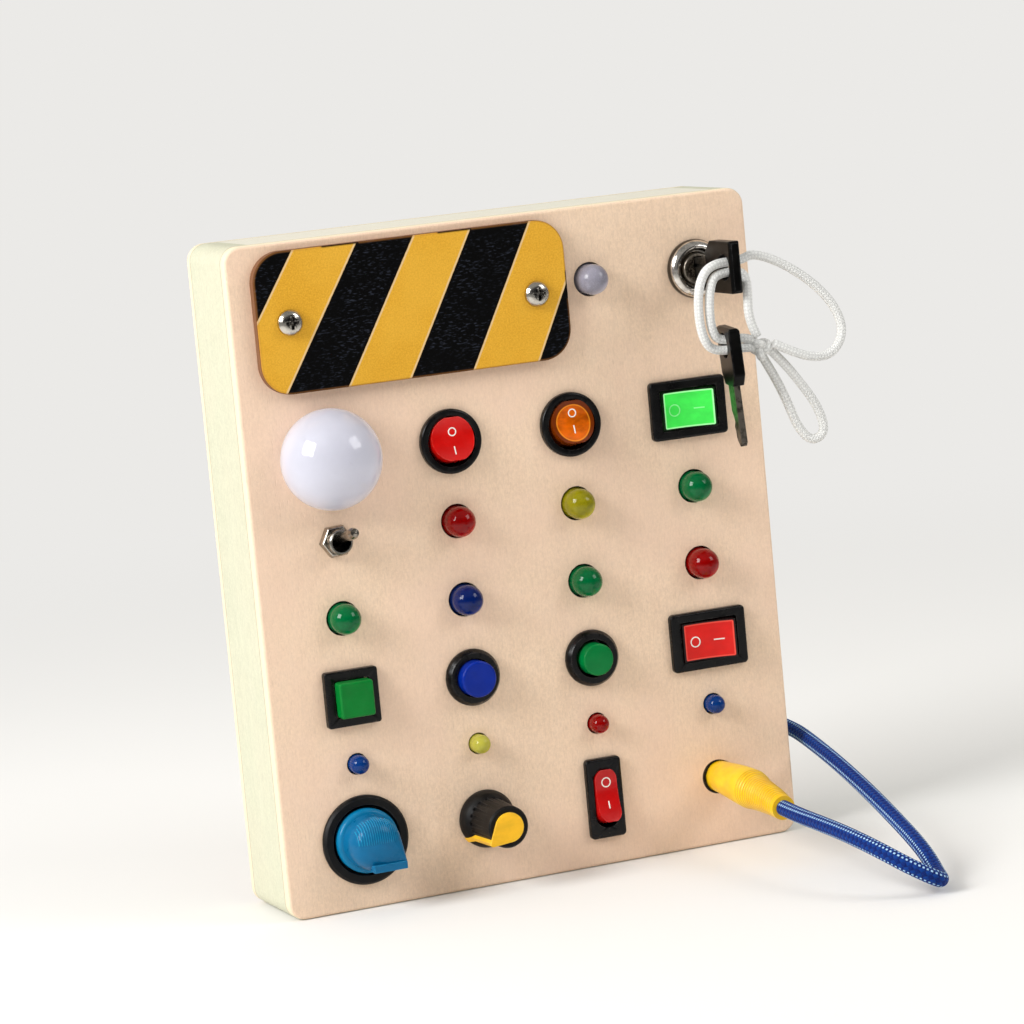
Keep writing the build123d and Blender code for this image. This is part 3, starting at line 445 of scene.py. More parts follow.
@once
def resin(name, colour, clear, low=None):
    """Tinted cast resin of a lamp bulb. Low is the colour of the small bulbs on the lower row."""
    material, net, shader = new_material(name)
    place = net.place()
    cloud = net.noise(place, 420.0, 3, 0.5)
    grain = net.noise(place, 3000.0, 3, 0.7)
    tone = net.mix(net.step(cloud, 0.35, 0.7), shade(colour, 0.88), shade(colour, 1.05))
    if low:
        tone = net.mix(net.step(net.split(place)[2], 0.056, 0.054), tone, low)
    tone = net.tint(tone, net.step(grain, 0.45, 0.7), 0.28, shade(colour, 1.7))
    # painted light: the side of each bulb that faces BULB_GLOW is painted up to 2.4 times brighter
    under = net.agree(net.facing(), BULB_GLOW)
    tone = net.mix(net.step(under, 0.35, 1.0, 0.0, 0.8), tone, shade(colour, 2.4))
    net.fill(shader, {"Base Color": tone, "Roughness": net.step(cloud, 0.3, 0.8, 0.03, 0.06),
                      "Specular IOR Level": 0.25, "IOR": 1.5, "Transmission Weight": clear,
                      "Normal": net.bump(cloud, 0.00002, 0.3)})
    return material


BAND_LINE = 0.1536  # height at which the bands' edges are measured, in metres
# where each edge crosses that height, in millimetres, and how far it slants for each step up
BAND_EDGES = [(-67.2, 0.651), (-49.1, 0.62), (-33.0, 0.588), (-16.4, 0.551), (0.3, 0.525), (18.25, 0.487)]
# left and right ends of the darkest slivers along the rim's top, each end with its fade, in metres
SLIVERS = [((-0.0478, -0.047), (-0.0368, -0.0374)), ((-0.0160, -0.0152), (-0.0058, -0.0064))]


def striped_print():
    """Yellow and black slanting bands on the plate, with scorched edges and bare wood sides."""
    look = bpy.context.scene.busy_board_plate
    low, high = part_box("hazard_plate")
    material, net, shader = new_material("striped_print")
    place = net.place()
    x, y, z = net.split(place)
    lift = net.minus(z, BAND_LINE)
    past = []
    for start, slope in BAND_EDGES:
        slanted = net.minus(net.minus(x, start * MM), net.times(lift, slope))
        past.append(net.times(slanted, 1 / math.sqrt(1 + slope * slope)))
    black = net.times(past[0], -1.0)
    for first, last in ((1, 2), (3, 4)):
        black = net.most(black, net.least(past[first], net.times(past[last], -1.0)))
    black = net.most(black, past[5])
    black = net.plus(black, net.times(net.minus(net.noise(place, 900.0, 2), 0.5), 0.00012))
    peel = net.noise(place, 2300.0, 3, 0.6)
    yellow = net.mix(net.step(peel, 0.3, 0.72), rgba(look.yellow_dark), rgba(look.yellow))
    yellow = net.tint(yellow, net.step(net.noise(place, 60.0, 3, 0.5), 0.3, 0.7), 0.25, paint(240, 190, 78))
    fleck = net.noise(net.stretch(place, 0.5, 1, 2.2), 1500.0, 1.5, 0.5)
    gathered = net.step(net.noise(place, 130.0, 2), 0.36, 0.6, 0.25, 1.0)
    sparkle = net.times(net.step(fleck, 0.56, 0.70), gathered)
    ink = net.tint(paint(3, 3, 5), sparkle, 0.42, paint(62, 67, 80))
    ink = net.mix(net.step(black, 0.0009, 0.0002), ink, paint(12, 4, 3))
    face = net.mix(net.step(black, -0.00006, 0.00006), yellow, ink)
    pale = net.times(net.step(black, -0.0006, -0.00035), net.step(black, 0.00008, -0.0001))
    face = net.tint(face, pale, 0.85, paint(222, 192, 146))
    middle = ((low.x + high.x) / 2, (low.z + high.z) / 2)
    half = ((high.x - low.x) / 2, (high.z - low.z) / 2)
    away = net.group(outline_distance, place, *middle, *half, 0.008)[0]
    burn = net.step(away, -0.0007, -0.00015)
    slivers = net.most(*(net.times(net.step(x, *left), net.step(x, *right)) for left, right in SLIVERS))
    slivers = net.times(slivers, net.step(z, 0.165, 0.166))
    upright = net.times(net.step(z, 0.150, 0.151), net.step(z, 0.1585, 0.1575))
    slivers = net.most(slivers, net.times(net.step(x, 0.017, 0.018), upright))
    rim = net.mix(slivers, paint(148, 98, 52), paint(16, 6, 4))
    face = net.tint(face, burn, net.step(slivers, 0, 1, 0.45, 1.0), rim)
    streaks = net.group(wood_grain, place, 1100.0, 1.4)[0]
    bare = net.mix(streaks, paint(96, 64, 44), paint(140, 100, 74))
    bare = net.mix(net.step(y, -0.0170, -0.0176), bare, paint(96, 58, 36))
    front = net.split(net.facing("True Normal"))[1]
    net.fill(shader, {"Base Color": net.mix(net.step(front, -0.3, -0.7), bare, face),
                      "Roughness": net.step(peel, 0.2, 0.8, 0.38, 0.54), "Specular IOR Level": 0.1,
                      "Normal": net.bump(net.plus(peel, net.times(fleck, 0.5)), 0.00006, 0.55)})
    return material


def cord_cover(name, base, second, crossings, relief, speck=None):
    """Braided sleeve. Where a speck colour is given, pairs of rows of its dots wind around the cord."""
    material, net, shader = new_material(name)
    over, height, family, fuzz = net.group(braid, 8.0, crossings)
    tone = net.tint(base, family, 0.55, second)
    # painted shade: the hollows between the strands are darkened
    tone = net.mix(net.step(over, 0.0, 0.5, 0.4, 0.0), tone, shade(base, 0.45))
    if speck:
        around, along, _ = net.split(net.place("UV"))
        turn = net.minus(net.part(net.plus(net.times(around, 3.0), net.times(along, 4.0))), 0.5)
        lane = net.step(net.size(net.minus(net.size(turn), 0.13)), 0.08, 0.04)
        beat = net.times(net.math("SIGN", turn), net.sine(net.times(along, FULL_TURN / 0.00105)))
        tone = net.tint(tone, net.times(lane, net.step(beat, -0.2, 0.35)), 0.95, speck)
    tone = net.tint(tone, net.step(fuzz, 0.4, 0.7), 0.3, shade(second, 1.3))
    net.fill(shader, {"Base Color": tone, "Roughness": net.step(fuzz, 0.2, 0.8, 0.7, 0.92),
                      "Specular IOR Level": 0.2, "Sheen Weight": 0.06, "Sheen Roughness": 0.4,
                      "Normal": net.bump(net.plus(height, net.times(fuzz, 0.3)), relief, 0.9)})
    return material


def plug_rubber():
    """Yellow rubber with fine ribs around the plug's neck."""
    material, net, shader = new_material("plug_rubber")
    place = net.place()
    depth = net.split(place)[1]
    zone = net.times(net.step(depth, -0.0345, -0.0355), net.step(depth, -0.0545, -0.0530))
    ribs = net.sine(net.times(depth, FULL_TURN / 0.0011))
    rough, height, smear = net.group(moulded_skin, place, 2400.0, 0.36, 0.12)
    tone = net.mix(net.step(smear, 0.3, 0.7), paint(232, 178, 6), paint(242, 200, 14))
    # painted shade: the grooves between the ribs are coloured a darker orange
    tone = net.tint(tone, net.times(zone, net.step(ribs, 0.0, -0.9)), 0.5, paint(190, 124, 8))
    tone = net.mix(net.group(dust_film, place, 0.08)[0], tone, paint(214, 206, 190))
    relief = net.plus(net.times(zone, ribs), net.times(height, 0.15))
    net.fill(shader, {"Base Color": tone, "Roughness": rough,
                      "Normal": net.bump(relief, 0.00012, 0.7), "Subsurface Weight": 0.08,
                      "Subsurface Radius": (0.002, 0.001, 0.0004)})
    return material


def nut_plate():
    return metal("nut_plate", paint(176, 168, 158), 0.1, grime=0.7)


def tinned_leg():
    return metal("tinned_leg", paint(200, 200, 196), 0.3)


def zinc_screw():
    return metal("zinc_screw", paint(196, 196, 192), 0.26)


def black_moulding():
    return plastic("black_moulding", paint(10, 10, 12), 0.26, handling=0.14, rub=paint(96, 90, 88),
                   mirror=0.24)


# ---------------------------------------------------------------- pieces
def link(obj):
    bpy.context.scene.collection.objects.link(obj)
    return obj


def soften_edges(obj, width, segments=2, angle=35.0):
    """Round an object's edges by a width in millimetres."""
    bevel = obj.modifiers.new("Softened edges", "BEVEL")
    bevel.width = width * MM
    bevel.segments = segments
    bevel.limit_method = "ANGLE"
    bevel.angle_limit = math.radians(angle)
    obj.modifiers.new("Even shading", "WEIGHTED_NORMAL")


def dress(node, material, soften=0.0, segments=2, angle=35.0):
    """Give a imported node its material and, where asked, softly rounded edges."""
    obj = NODES[node]
    if obj.material_slots:
        for slot in obj.material_slots:
            slot.material = material
    else:
        obj.data.materials.append(material)
    if soften:
        weld = obj.modifiers.new("Join seams", "WELD")
        weld.merge_threshold = 2e-6
        soften_edges(obj, soften, segments, angle)


def add_piece(name, shape, material, body, stands_for=None, smooth=True, soften=0.0):
    """Mesh piece of points in metres and faces, riding on a body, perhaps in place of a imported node."""
    points, faces = shape
    mesh = bpy.data.meshes.new(name)
    mesh.from_pydata([tuple(point) for point in points], [], faces)
    build = bmesh.new()
    build.from_mesh(mesh)
    bmesh.ops.recalc_face_normals(build, faces=build.faces)
    build.to_mesh(mesh)
    build.free()
    mesh.materials.append(material)
    for polygon in mesh.polygons:
        polygon.use_smooth = smooth
    obj = link(bpy.data.objects.new(name, mesh))
    if soften:
        soften_edges(obj, soften)
    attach(obj, body)
    if stands_for:
        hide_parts(stands_for)


def circle(count):
    """Angles of evenly spaced points around a circle."""
    return [FULL_TURN * step / count for step in range(count)]


def skin(rings, count, closed=False):
    """Faces from ring to ring of points, and over the first and the last ring unless they meet."""
    faces = []
    for ring in range(rings if closed else rings - 1):
        here, there = ring * count, (ring + 1) % rings * count
        for step in range(count):
            after = (step + 1) % count
            faces.append((here + step, here + after, there + after, there + step))
    if not closed:
        faces += [tuple(range(count)), tuple(range((rings - 1) * count, rings * count))]
    return faces


def joined(shapes):
    """Points and faces of several shapes as one."""
    points, faces = [], []
    for more, sheets in shapes:
        faces += [tuple(index + len(points) for index in sheet) for sheet in sheets]
        points += more
    return points, faces


def turning(x, z, profile, sides):
    """Shape of a profile of (radius, out) turned about a point of the board's face."""
    points = [spot(x + radius * math.cos(angle), z + radius * math.sin(angle), out)
              for radius, out in profile for angle in circle(sides)]
    return points, skin(len(profile), sides)


CROSS_TURNS = [quarter + turn for quarter in (0, 90, 180, 270)
               for turn in (-37, -30, -20, -12, 0, 12, 20, 30, 37, 45)]
CROSS_HALF = 12  # half of the angle that an arm's tip fills, in degrees


def cross_screw(x, z, profile, arm, depth):
    """Shape of a cross-head screw: a profile of (radius, out) from tail to rim, then the recess."""
    face = profile[-1][1]
    outline = []
    for turn in CROSS_TURNS:
        aside = math.radians(abs((turn + 45) % 90 - 45))
        if aside < math.radians(CROSS_HALF + 0.5):
            outline.append(arm / math.cos(aside))
        else:
            outline.append(arm * math.tan(math.radians(CROSS_HALF)) / math.sin(aside))
    rings = [([radius] * len(CROSS_TURNS), out) for radius, out in profile]
    rings += [(outline, face), ([radius * 0.55 for radius in outline], face + depth)]
    points = [spot(x + reach * math.cos(math.radians(turn)), z + reach * math.sin(math.radians(turn)), out)
              for reaches, out in rings for reach, turn in zip(reaches, CROSS_TURNS)]
    return points, skin(len(rings), len(CROSS_TURNS))


def hex_nut(x, z, corner, bore, height, turn, count=48):
    """Shape of a hexagon nut on the board's face, with its corner radius, bore radius and height."""
    profile = [(bore, 0.0), (corner, 0.0), (corner, height - 0.6), (corner - 0.45, height), (bore, height)]
    points = []
    for radius, out in profile:
        for angle in circle(count):
            reach = radius
            if radius > bore:
                reach *= math.cos(math.pi / 6) / math.cos(angle % (math.pi / 3) - math.pi / 6)
            points.append(spot(x + reach * math.cos(angle + turn), z + reach * math.sin(angle + turn), out))
    return points, skin(len(profile), count, closed=True)


def hull(points):
    """Shape of the convex skin stretched over points."""
    build = bmesh.new()
    for point in points:
        build.verts.new(point)
    bmesh.ops.convex_hull(build, input=build.verts)
    bmesh.ops.delete(build, geom=[vert for vert in build.verts if not vert.link_faces], context="VERTS")
    build.verts.index_update()
    kept = [vert.co.copy() for vert in build.verts]
    faces = [tuple(vert.index for vert in face.verts) for face in build.faces]
    build.free()
    return kept, faces


def route_line(points):
    """Points along the smooth spline of a cord's route."""
    curve = bpy.data.curves.new("route", "CURVE")
    curve.dimensions = "3D"
    spline = curve.splines.new("NURBS")
    spline.points.add(len(points) - 1)
    for knot, where in zip(spline.points, points):
        knot.co = (where[0] * MM, where[1] * MM, where[2] * MM, 1.0)
    spline.order_u = 3
    spline.use_endpoint_u = True
    spline.resolution_u = 16
    obj = link(bpy.data.objects.new("route", curve))
    bpy.context.view_layer.update()
    line = bpy.data.meshes.new_from_object(obj)
    path = [vertex.co.copy() for vertex in line.vertices]
    bpy.data.objects.remove(obj)
    bpy.data.curves.remove(curve)
    bpy.data.meshes.remove(line)
    return path


def tube_mesh(name, path, radius, sides, closed):
    """Tube around a line of points, with a UV map of turns around and metres along."""
    count = len(path)
    ways = []
    for index in range(count):
        before = path[index - 1] if closed or index else path[index]
        after = path[(index + 1) % count] if closed or index < count - 1 else path[index]
        ways.append((after - before).normalized())
    side = ways[0].orthogonal().normalized()
    build = bmesh.new()
    uv = build.loops.layers.uv.new("UVMap")
    rings, along = [], [0.0]
    for index, (point, way) in enumerate(zip(path, ways)):
        if index:
            along.append(along[-1] + (point - path[index - 1]).length)
        side = (side - way * side.dot(way)).normalized()
        up = way.cross(side)
        rings.append([build.verts.new(point + (side * math.cos(angle) + up * math.sin(angle)) * radius)
                      for angle in circle(sides)])
    for index in range(count if closed else count - 1):
        ring, following = rings[index], rings[(index + 1) % count]
        near = along[index]
        far = along[index + 1] if index + 1 < count else near + (path[0] - path[-1]).length
        for step in range(sides):
            after = (step + 1) % sides
            face = build.faces.new((ring[step], ring[after], following[after], following[step]))
            face.smooth = True
            corners = ((step, near), (step + 1, near), (step + 1, far), (step, far))
            for loop, (around, distance) in zip(face.loops, corners):
                loop[uv].uv = (around / sides, distance)
    if not closed:
        build.faces.new(list(reversed(rings[0])))
        build.faces.new(rings[-1])
    mesh = bpy.data.meshes.new(name)
    build.to_mesh(mesh)
    build.free()
    return mesh


def add_tube(name, path, radius, material, sides, closed=False):
    mesh = tube_mesh(name, path, radius, sides, closed)
    mesh.materials.append(material)
    obj = link(bpy.data.objects.new(name, mesh))
    return obj


# ---------------------------------------------------------------- routes, in millimetres
PLUG_CORD_ROUTE = [
    (62.8, 7.5, 26.8), (77.2, 7.5, 26.8), (80.3, -3.0, 24.8), (79.2, -16.0, 23.0), (77.5, -31.0, 20.9),
    (75.9, -46.0, 18.2), (74.3, -61.0, 15.0), (72.8, -75.0, 11.6), (71.4, -86.0, 9.0), (70.2, -95.0, 6.2),
    (68.9, -102.4, 2.9), (65.4, -111.0, 3.4), (58.0, -108.2, 8.0), (54.4, -103.0, 11.0), (52.2, -95.0, 13.1),
    (51.2, -85.0, 14.3), (50.5, -74.0, 15.0), (50.1, -64.0, 15.4), (50.25, -55.0, 15.9),
]
RING_ROUTE = [
    (61.7, -39.6, 136.6), (59.7, -39.4, 141.2), (60.7, -38.2, 147.8), (61.3, -36.6, 153.85),
    (52.8, -36.6, 153.85), (50.6, -37.2, 150.6), (49.7, -37.4, 144.6), (50.1, -37.2, 139.2),
    (52.0, -36.9, 136.4), (59.1, -38.55, 136.75), (61.4, -38.8, 135.4),
]
BIG_LOOP_ROUTE = [
    (65.4, -41.0, 134.4), (70.4, -42.0, 131.6), (76.2, -42.0, 129.4), (82.4, -41.2, 129.6),
    (86.6, -40.2, 135.0), (84.8, -39.0, 142.4), (78.8, -38.0, 149.4), (70.6, -37.2, 155.2),
    (63.6, -36.8, 158.0), (60.3, -36.6, 156.45), (51.6, -36.6, 156.45), (47.9, -36.9, 152.4),
    (46.6, -37.2, 145.2), (47.4, -36.9, 137.6), (50.4, -36.6, 133.7), (58.7, -38.45, 134.1),
    (61.0, -38.9, 133.8),
]
SMALL_LOOP_ROUTE = [
    (62.6, -38.2, 132.4), (66.4, -37.4, 126.2), (69.8, -37.2, 118.6), (72.2, -37.4, 111.2),
    (75.8, -37.8, 107.0), (79.8, -38.4, 109.2), (77.8, -38.8, 116.2), (73.2, -39.2, 123.0),
    (68.4, -39.6, 129.2), (65.0, -39.6, 132.8),
]
# each string with its route and its length in metres
STRINGS = [("string_ring", RING_ROUTE, 0.0544), ("string_big_loop", BIG_LOOP_ROUTE, 0.1075),
           ("string_small_loop", SMALL_LOOP_ROUTE, 0.0604)]
KNOT = (62.8, -39.0, 133.2)  # middle of the knot that ties the strings together


# ---------------------------------------------------------------- settings
class BusyBoardStage(bpy.types.PropertyGroup):
    key_power: FloatProperty(name="Left light", description="Power of the large light on the left",
                             default=17.0, min=0, unit="POWER")
    fill_power: FloatProperty(name="Right light", description="Power of the light on the right",
                              default=5.5, min=0, unit="POWER")
    sky: FloatProperty(name="Surround", description="Strength of the studio's surround", default=0.82, min=0)
    floor: FloatVectorProperty(name="Floor", description="Colour of the floor", subtype="COLOR",
                               default=(0.80, 0.79, 0.77), min=0, max=1)


class BusyBoardBox(bpy.types.PropertyGroup):
    face_light: FloatVectorProperty(name="Face, light", description="Light fibres of the plywood face",
                                    subtype="COLOR", default=(0.83, 0.628, 0.456), min=0, max=1)
    face_dark: FloatVectorProperty(name="Face, dark", description="Dark fibres of the plywood face",
                                   subtype="COLOR", default=(0.76, 0.56, 0.40), min=0, max=1)
    side_light: FloatVectorProperty(name="Sides", description="Planed pine of the bars at the sides",
                                    subtype="COLOR", default=(0.577, 0.573, 0.43), min=0, max=1)
    # painted light: the top and bottom bars are the sides' pine painted paler, for the light that falls on
    # the top bar
    end_painted_light: FloatVectorProperty(name="Top and bottom", description="Paler pine of the top and bottom bars",
                                   subtype="COLOR", default=(0.745, 0.715, 0.60), min=0, max=1)


class BusyBoardPlate(bpy.types.PropertyGroup):
    yellow: FloatVectorProperty(name="Yellow", description="Light tone of the plate's yellow",
                                subtype="COLOR", default=(0.775, 0.41, 0.036), min=0, max=1)
    yellow_dark: FloatVectorProperty(name="Yellow, hollows", description="Tone in the hollows of the print",
                                     subtype="COLOR", default=(0.63, 0.315, 0.022), min=0, max=1)


class BusyBoardCords(bpy.types.PropertyGroup):
    cord_diameter: FloatProperty(name="Plug cord", description="Diameter of the plug's cord",
                                 default=0.0041, min=0.001, unit="LENGTH")
    string_diameter: FloatProperty(name="Key string", description="Diameter of the keys' string",
                                   default=0.0024, min=0.001, unit="LENGTH")
    sides: IntProperty(name="Sides", description="Faces around a cord", default=18, min=8, max=48)


# ---------------------------------------------------------------- operators
FLOOR_HALF = 60.0  # half the floor's side, in metres
# each light with its direction from the board, its distance, its side in metres and its power's setting
LIGHTS = [("left_light", (-0.844, -0.204, 0.493), 1.3, 0.62, "key_power"),
          ("right_light", (0.636, -0.567, 0.525), 1.5, 0.62, "fill_power")]
LIGHT_AIM = Vector((0, -0.015, 0.09))  # the lights look at this point, in metres
# where the camera stands, its ways to the right, up and back, and its lens in millimetres
CAMERA_PLACE = Vector((-0.41402, -1.03533, 0.24347))
CAMERA_AXES = [(0.91822, -0.38492, -0.09329), (0.13649, 0.08642, 0.98686), (-0.37180, -0.91890, 0.13189)]
CAMERA_LENS = 150.09


def floor_finish(colour):
    """Matt floor that turns into an even glow away from the board, so that it shows no edge."""
    material, net, shader = new_material("studio_floor")
    place = net.place()
    tone = net.mix(net.noise(place, 3.0, 3, 0.5), shade(colour, 0.985), shade(colour, 1.015))
    net.fill(shader, {"Base Color": tone, "Roughness": 0.85, "Specular IOR Level": 0.2})
    rays = net.add("ShaderNodeLightPath").outputs
    seen = net.most(rays["Is Camera Ray"], net.most(rays["Is Glossy Ray"], rays["Is Transmission Ray"]))
    x, y, _ = net.split(place)
    far = net.times(seen, net.step(net.reach(x, y), 0.16, 0.75))
    strength = net.minus(1.0, net.times(rays["Is Glossy Ray"], 0.6))
    glow = net.add("ShaderNodeEmission", {"Color": shade(colour, 1.04), "Strength": strength})
    both = net.add("ShaderNodeMixShader", {0: far, 1: shader.outputs[0], 2: glow.outputs[0]})
    net.feed(net.tree.nodes["Material Output"].inputs[0], both.outputs[0])
    return material


def surround(colour, sky):
    """World that lights the board softly and looks to the camera like the floor's colour."""
    world = bpy.data.worlds.new("studio")
    world.use_nodes = True
    net = Net(world.node_tree)
    net.tree.nodes.clear()
    _, y, z = net.split(net.place("Generated"))
    tone = net.mix(net.step(z, -0.1, 0.9), paint(196, 196, 198), paint(255, 254, 250))
    tone = net.tint(tone, net.step(y, -0.35, -0.9), net.step(z, 0.75, 0.3), paint(92, 92, 96))
    rays = net.add("ShaderNodeLightPath").outputs
    strength = net.minus(sky, net.times(rays["Is Glossy Ray"], sky * 0.6))
    lit = net.add("ShaderNodeBackground", {"Color": tone, "Strength": strength}).outputs[0]
    seen = net.add("ShaderNodeBackground", {"Color": shade(colour, 1.04), "Strength": 1.0}).outputs[0]
    both = net.add("ShaderNodeMixShader", {0: rays["Is Camera Ray"], 1: lit, 2: seen}).outputs[0]
    net.add("ShaderNodeOutputWorld", {0: both})
    return world


class BUSY_OT_stage(bpy.types.Operator):
    """Floor, soft studio lights, surround and camera"""
    bl_idname = "busy_board.stage"
    bl_label = "Stage"

    def execute(self, context):
        look = context.scene.busy_board_stage
        mesh = bpy.data.meshes.new("floor")
        corners = [(x * FLOOR_HALF, y * FLOOR_HALF, 0) for x, y in ((-1, -1), (1, -1), (1, 1), (-1, 1))]
        mesh.from_pydata(corners, [], [(0, 1, 2, 3)])
        mesh.materials.append(floor_finish(rgba(look.floor)))
        floor = link(bpy.data.objects.new("floor", mesh))
        floor.location.z = -0.0001
        for name, way, distance, size, power in LIGHTS:
            lamp = bpy.data.lights.new(name, "AREA")
            lamp.shape = "SQUARE"
            lamp.size = size
            lamp.energy = getattr(look, power)
            obj = link(bpy.data.objects.new(name, lamp))
            way = Vector(way).normalized()
            obj.location = LIGHT_AIM + way * distance
            obj.rotation_euler = way.to_track_quat("Z", "Y").to_euler()
        context.scene.world = surround(rgba(look.floor), look.sky)
        camera = bpy.data.cameras.new("camera")
        camera.lens = CAMERA_LENS
        camera.sensor_width = 36.0
        camera.clip_start = 0.01
        camera.clip_end = 200.0
        obj = link(bpy.data.objects.new("camera", camera))
        obj.matrix_world = Matrix.Translation(CAMERA_PLACE) @ Matrix(CAMERA_AXES).transposed().to_4x4()
        context.scene.camera = obj
        context.scene.view_settings.view_transform = "Standard"
        return {"FINISHED"}


class BUSY_OT_plug_cord(bpy.types.Operator):
    """Braided cord from the board's side to the plug"""
    bl_idname = "busy_board.plug_cord"
    bl_label = "Plug cord"

    def execute(self, context):
        look = context.scene.busy_board_cords
        cover = cord_cover("blue_braid", paint(3, 32, 96), paint(12, 66, 146), 620.0, 0.00022,
                           speck=paint(176, 216, 246))
        path = route_line(PLUG_CORD_ROUTE)
        cord = add_tube("braided_plug_cord", path, look.cord_diameter / 2, cover, look.sides + 6)
        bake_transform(cord)
        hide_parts("plug_cord")
        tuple(path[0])
        dress("stop_knot", cover)
        return {"FINISHED"}


def trefoil(count=120):
    """Line of the keys' knot, which passes over and under itself three times."""
    return [Vector((KNOT[0] + 0.72 * (math.sin(turn) + 2 * math.sin(2 * turn)),
                    KNOT[1] - 0.95 * math.sin(3 * turn),
                    KNOT[2] + 0.72 * (math.cos(turn) - 2 * math.cos(2 * turn)))) * MM
            for turn in circle(count)]


class BUSY_OT_key_strings(bpy.types.Operator):
    """White string that ties the keys together, with its knot"""
    bl_idname = "busy_board.key_strings"
    bl_label = "Key strings"

    def execute(self, context):
        look = context.scene.busy_board_cords
        cover = cord_cover("white_braid", paint(214, 214, 211), paint(247, 247, 243), 1100.0, 0.00012)
        knot = add_tube("string_knot", trefoil(), 1.1 * MM, cover, look.sides, closed=True)
        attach(knot, "key")
        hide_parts("cord_knot")
        for name, route, length in STRINGS:
            path = route_line(route)
            string = add_tube(name, path, look.string_diameter / 2, cover, look.sides)
            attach(string, "key")
            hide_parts("key_cord")
            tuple(path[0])
        return {"FINISHED"}


# outlines of the two kinds of screw in the back, as (radius, out) from the tail to the rim
BACK_SCREW = [(1.5, -27.0), (1.5, -28.6), (3.0, -30.0)]
LID_SCREW = [(1.15, -22.0), (1.15, -28.8), (2.4, -28.8), (2.4, -29.3), (2.1, -29.6)]


class BUSY_OT_box(bpy.types.Operator):
    """Plywood panels, pine bars and the screws of the back"""
    bl_idname = "busy_board.box"
    bl_label = "Box"

    def execute(self, context):
        dress("front_panel", plywood())
        dress("back_panel", plywood())
        dress("frame_side_bars", pine("Z"))
        dress("frame_end_bars", pine("X"))
        dress("back_screws", zinc_screw())
        heads = joined(cross_screw(x, z, BACK_SCREW, 1.9, 1.0) for x in (-67.6, 67.6) for z in (9.2, 164.8))
        add_piece("back_cross_screws", heads, zinc_screw(), "board", "back_screws", smooth=False)
        return {"FINISHED"}


class BUSY_OT_plate(bpy.types.Operator):
    """Striped plate with its two screws"""
    bl_idname = "busy_board.plate"
    bl_label = "Striped plate"

    def execute(self, context):
        dress("hazard_plate", striped_print())
        recesses = [(x, z, 2.1) for x, z in PLATE_SCREWS]
        nickel = metal("nickel_screw", paint(206, 200, 190), 0.1, grime=0.3, hollows=recesses)
        dress("plate_screws", nickel, 0.12)
        return {"FINISHED"}


BIG_BULB, SMALL_BULB = (4.0, 6.3), (2.5, 4.3)  # radius of a bulb and how far it stands out
LAMPS = [((COLUMNS[column], ROWS[row]), BIG_BULB)
         for column, row in ((0, 3), (2, 3), (3, 4), (1, 4), (3, 3), (2, 4), (1, 3))]
LAMPS += [((26.7, 154.7), BIG_BULB)]
LAMPS += [((COLUMNS[column], ROWS[1]), SMALL_BULB) for column in (0, 3, 1, 2)]


def cup_and_post():
    """Shapes of the cup and of the post inside each bulb, one after another."""
    for (x, z), (radius, stand) in LAMPS:
        top = stand - radius * 1.15
        cup = [(0.05, top - 1.2), (radius * 0.34, top - 1.0), (radius * 0.52, top),
               (radius * 0.44, top + 0.05), (radius * 0.22, top - 0.7), (0.05, top - 0.7)]
        yield turning(x, z, cup, 20)
        yield turning(x + radius * 0.55, z, [(0.3, -3.6), (0.3, top + 0.2), (0.05, top + 0.25)], 20)


class BUSY_OT_lamps(bpy.types.Operator):
    """Resin lamp bulbs with the cup and post inside each, and their legs"""
    bl_idname = "busy_board.lamps"
    bl_label = "Lamps"

    def execute(self, context):
        dress("green_lamps", resin("green_resin", paint(4, 98, 54), 0.12))
        dress("red_lamps", resin("red_resin", paint(136, 8, 8), 0.12))
        dress("yellow_lamps", resin("yellow_resin", paint(150, 142, 24), 0.25, low=paint(196, 190, 78)))
        dress("blue_lamps", resin("blue_resin", paint(12, 34, 92), 0.12, low=paint(16, 56, 118)))
        dress("white_lamps", resin("clear_resin", paint(154, 151, 164), 0.3))
        cup = metal("lamp_cup", paint(214, 214, 208), 0.2)
        add_piece("lamp_cups", joined(cup_and_post()), cup, "board")
        dress("lamp_legs", tinned_leg())
        return {"FINISHED"}


class BUSY_OT_dome(bpy.types.Operator):
    """Milky dome and its base"""
    bl_idname = "busy_board.dome"
    bl_label = "Dome"

    def execute(self, context):
        milky = {"Subsurface Weight": 0.7, "Subsurface Radius": (1.0, 0.95, 1.0), "Subsurface Scale": 0.010,
                 "Coat Roughness": 0.015}
        # painted light: the glow evens out the dome's shading, standing in for light that shines through the
        # milky plastic
        dress("dome_lens", plastic("milky_lens", paint(190, 189, 204), 0.55, 900.0, 0.000001, 0.03, coat=1.0,
                                   dust=0.0, glow=0.14, mottle=0.15, others=milky))
        dress("dome_base", plastic("white_base", paint(228, 226, 222), 0.4))
        return {"FINISHED"}


# name, x, z, upright, reach of the cap and tilt, then the mark on the low side and the one on the high side,
# each with its kind, its distance from the middle and its size
ROCKERS = [
    ("round_red_rocker", COLUMNS[1], ROWS[5], True, 5.9, -10.0, ("bar", 3.0, 1.1), ("ring", 1.9, 1.15)),
    ("round_amber_rocker", COLUMNS[2], ROWS[5], True, 5.9, -10.0, ("bar", 1.9, 1.1), ("ring", 2.4, 1.15)),
    ("green_rocker", COLUMNS[3], ROWS[5], False, 7.6, 10.0, ("ring", 3.9, 1.65), ("bar", 2.9, 1.45)),
    ("red_rocker", COLUMNS[3], ROWS[2], False, 7.6, 10.0, ("ring", 3.8, 1.45), ("bar", 2.8, 1.45)),
    ("narrow_rocker", COLUMNS[2], ROWS[0], True, 7.2, -10.0, ("bar", 2.4, 1.0), ("ring", 3.6, 1.35)),
]
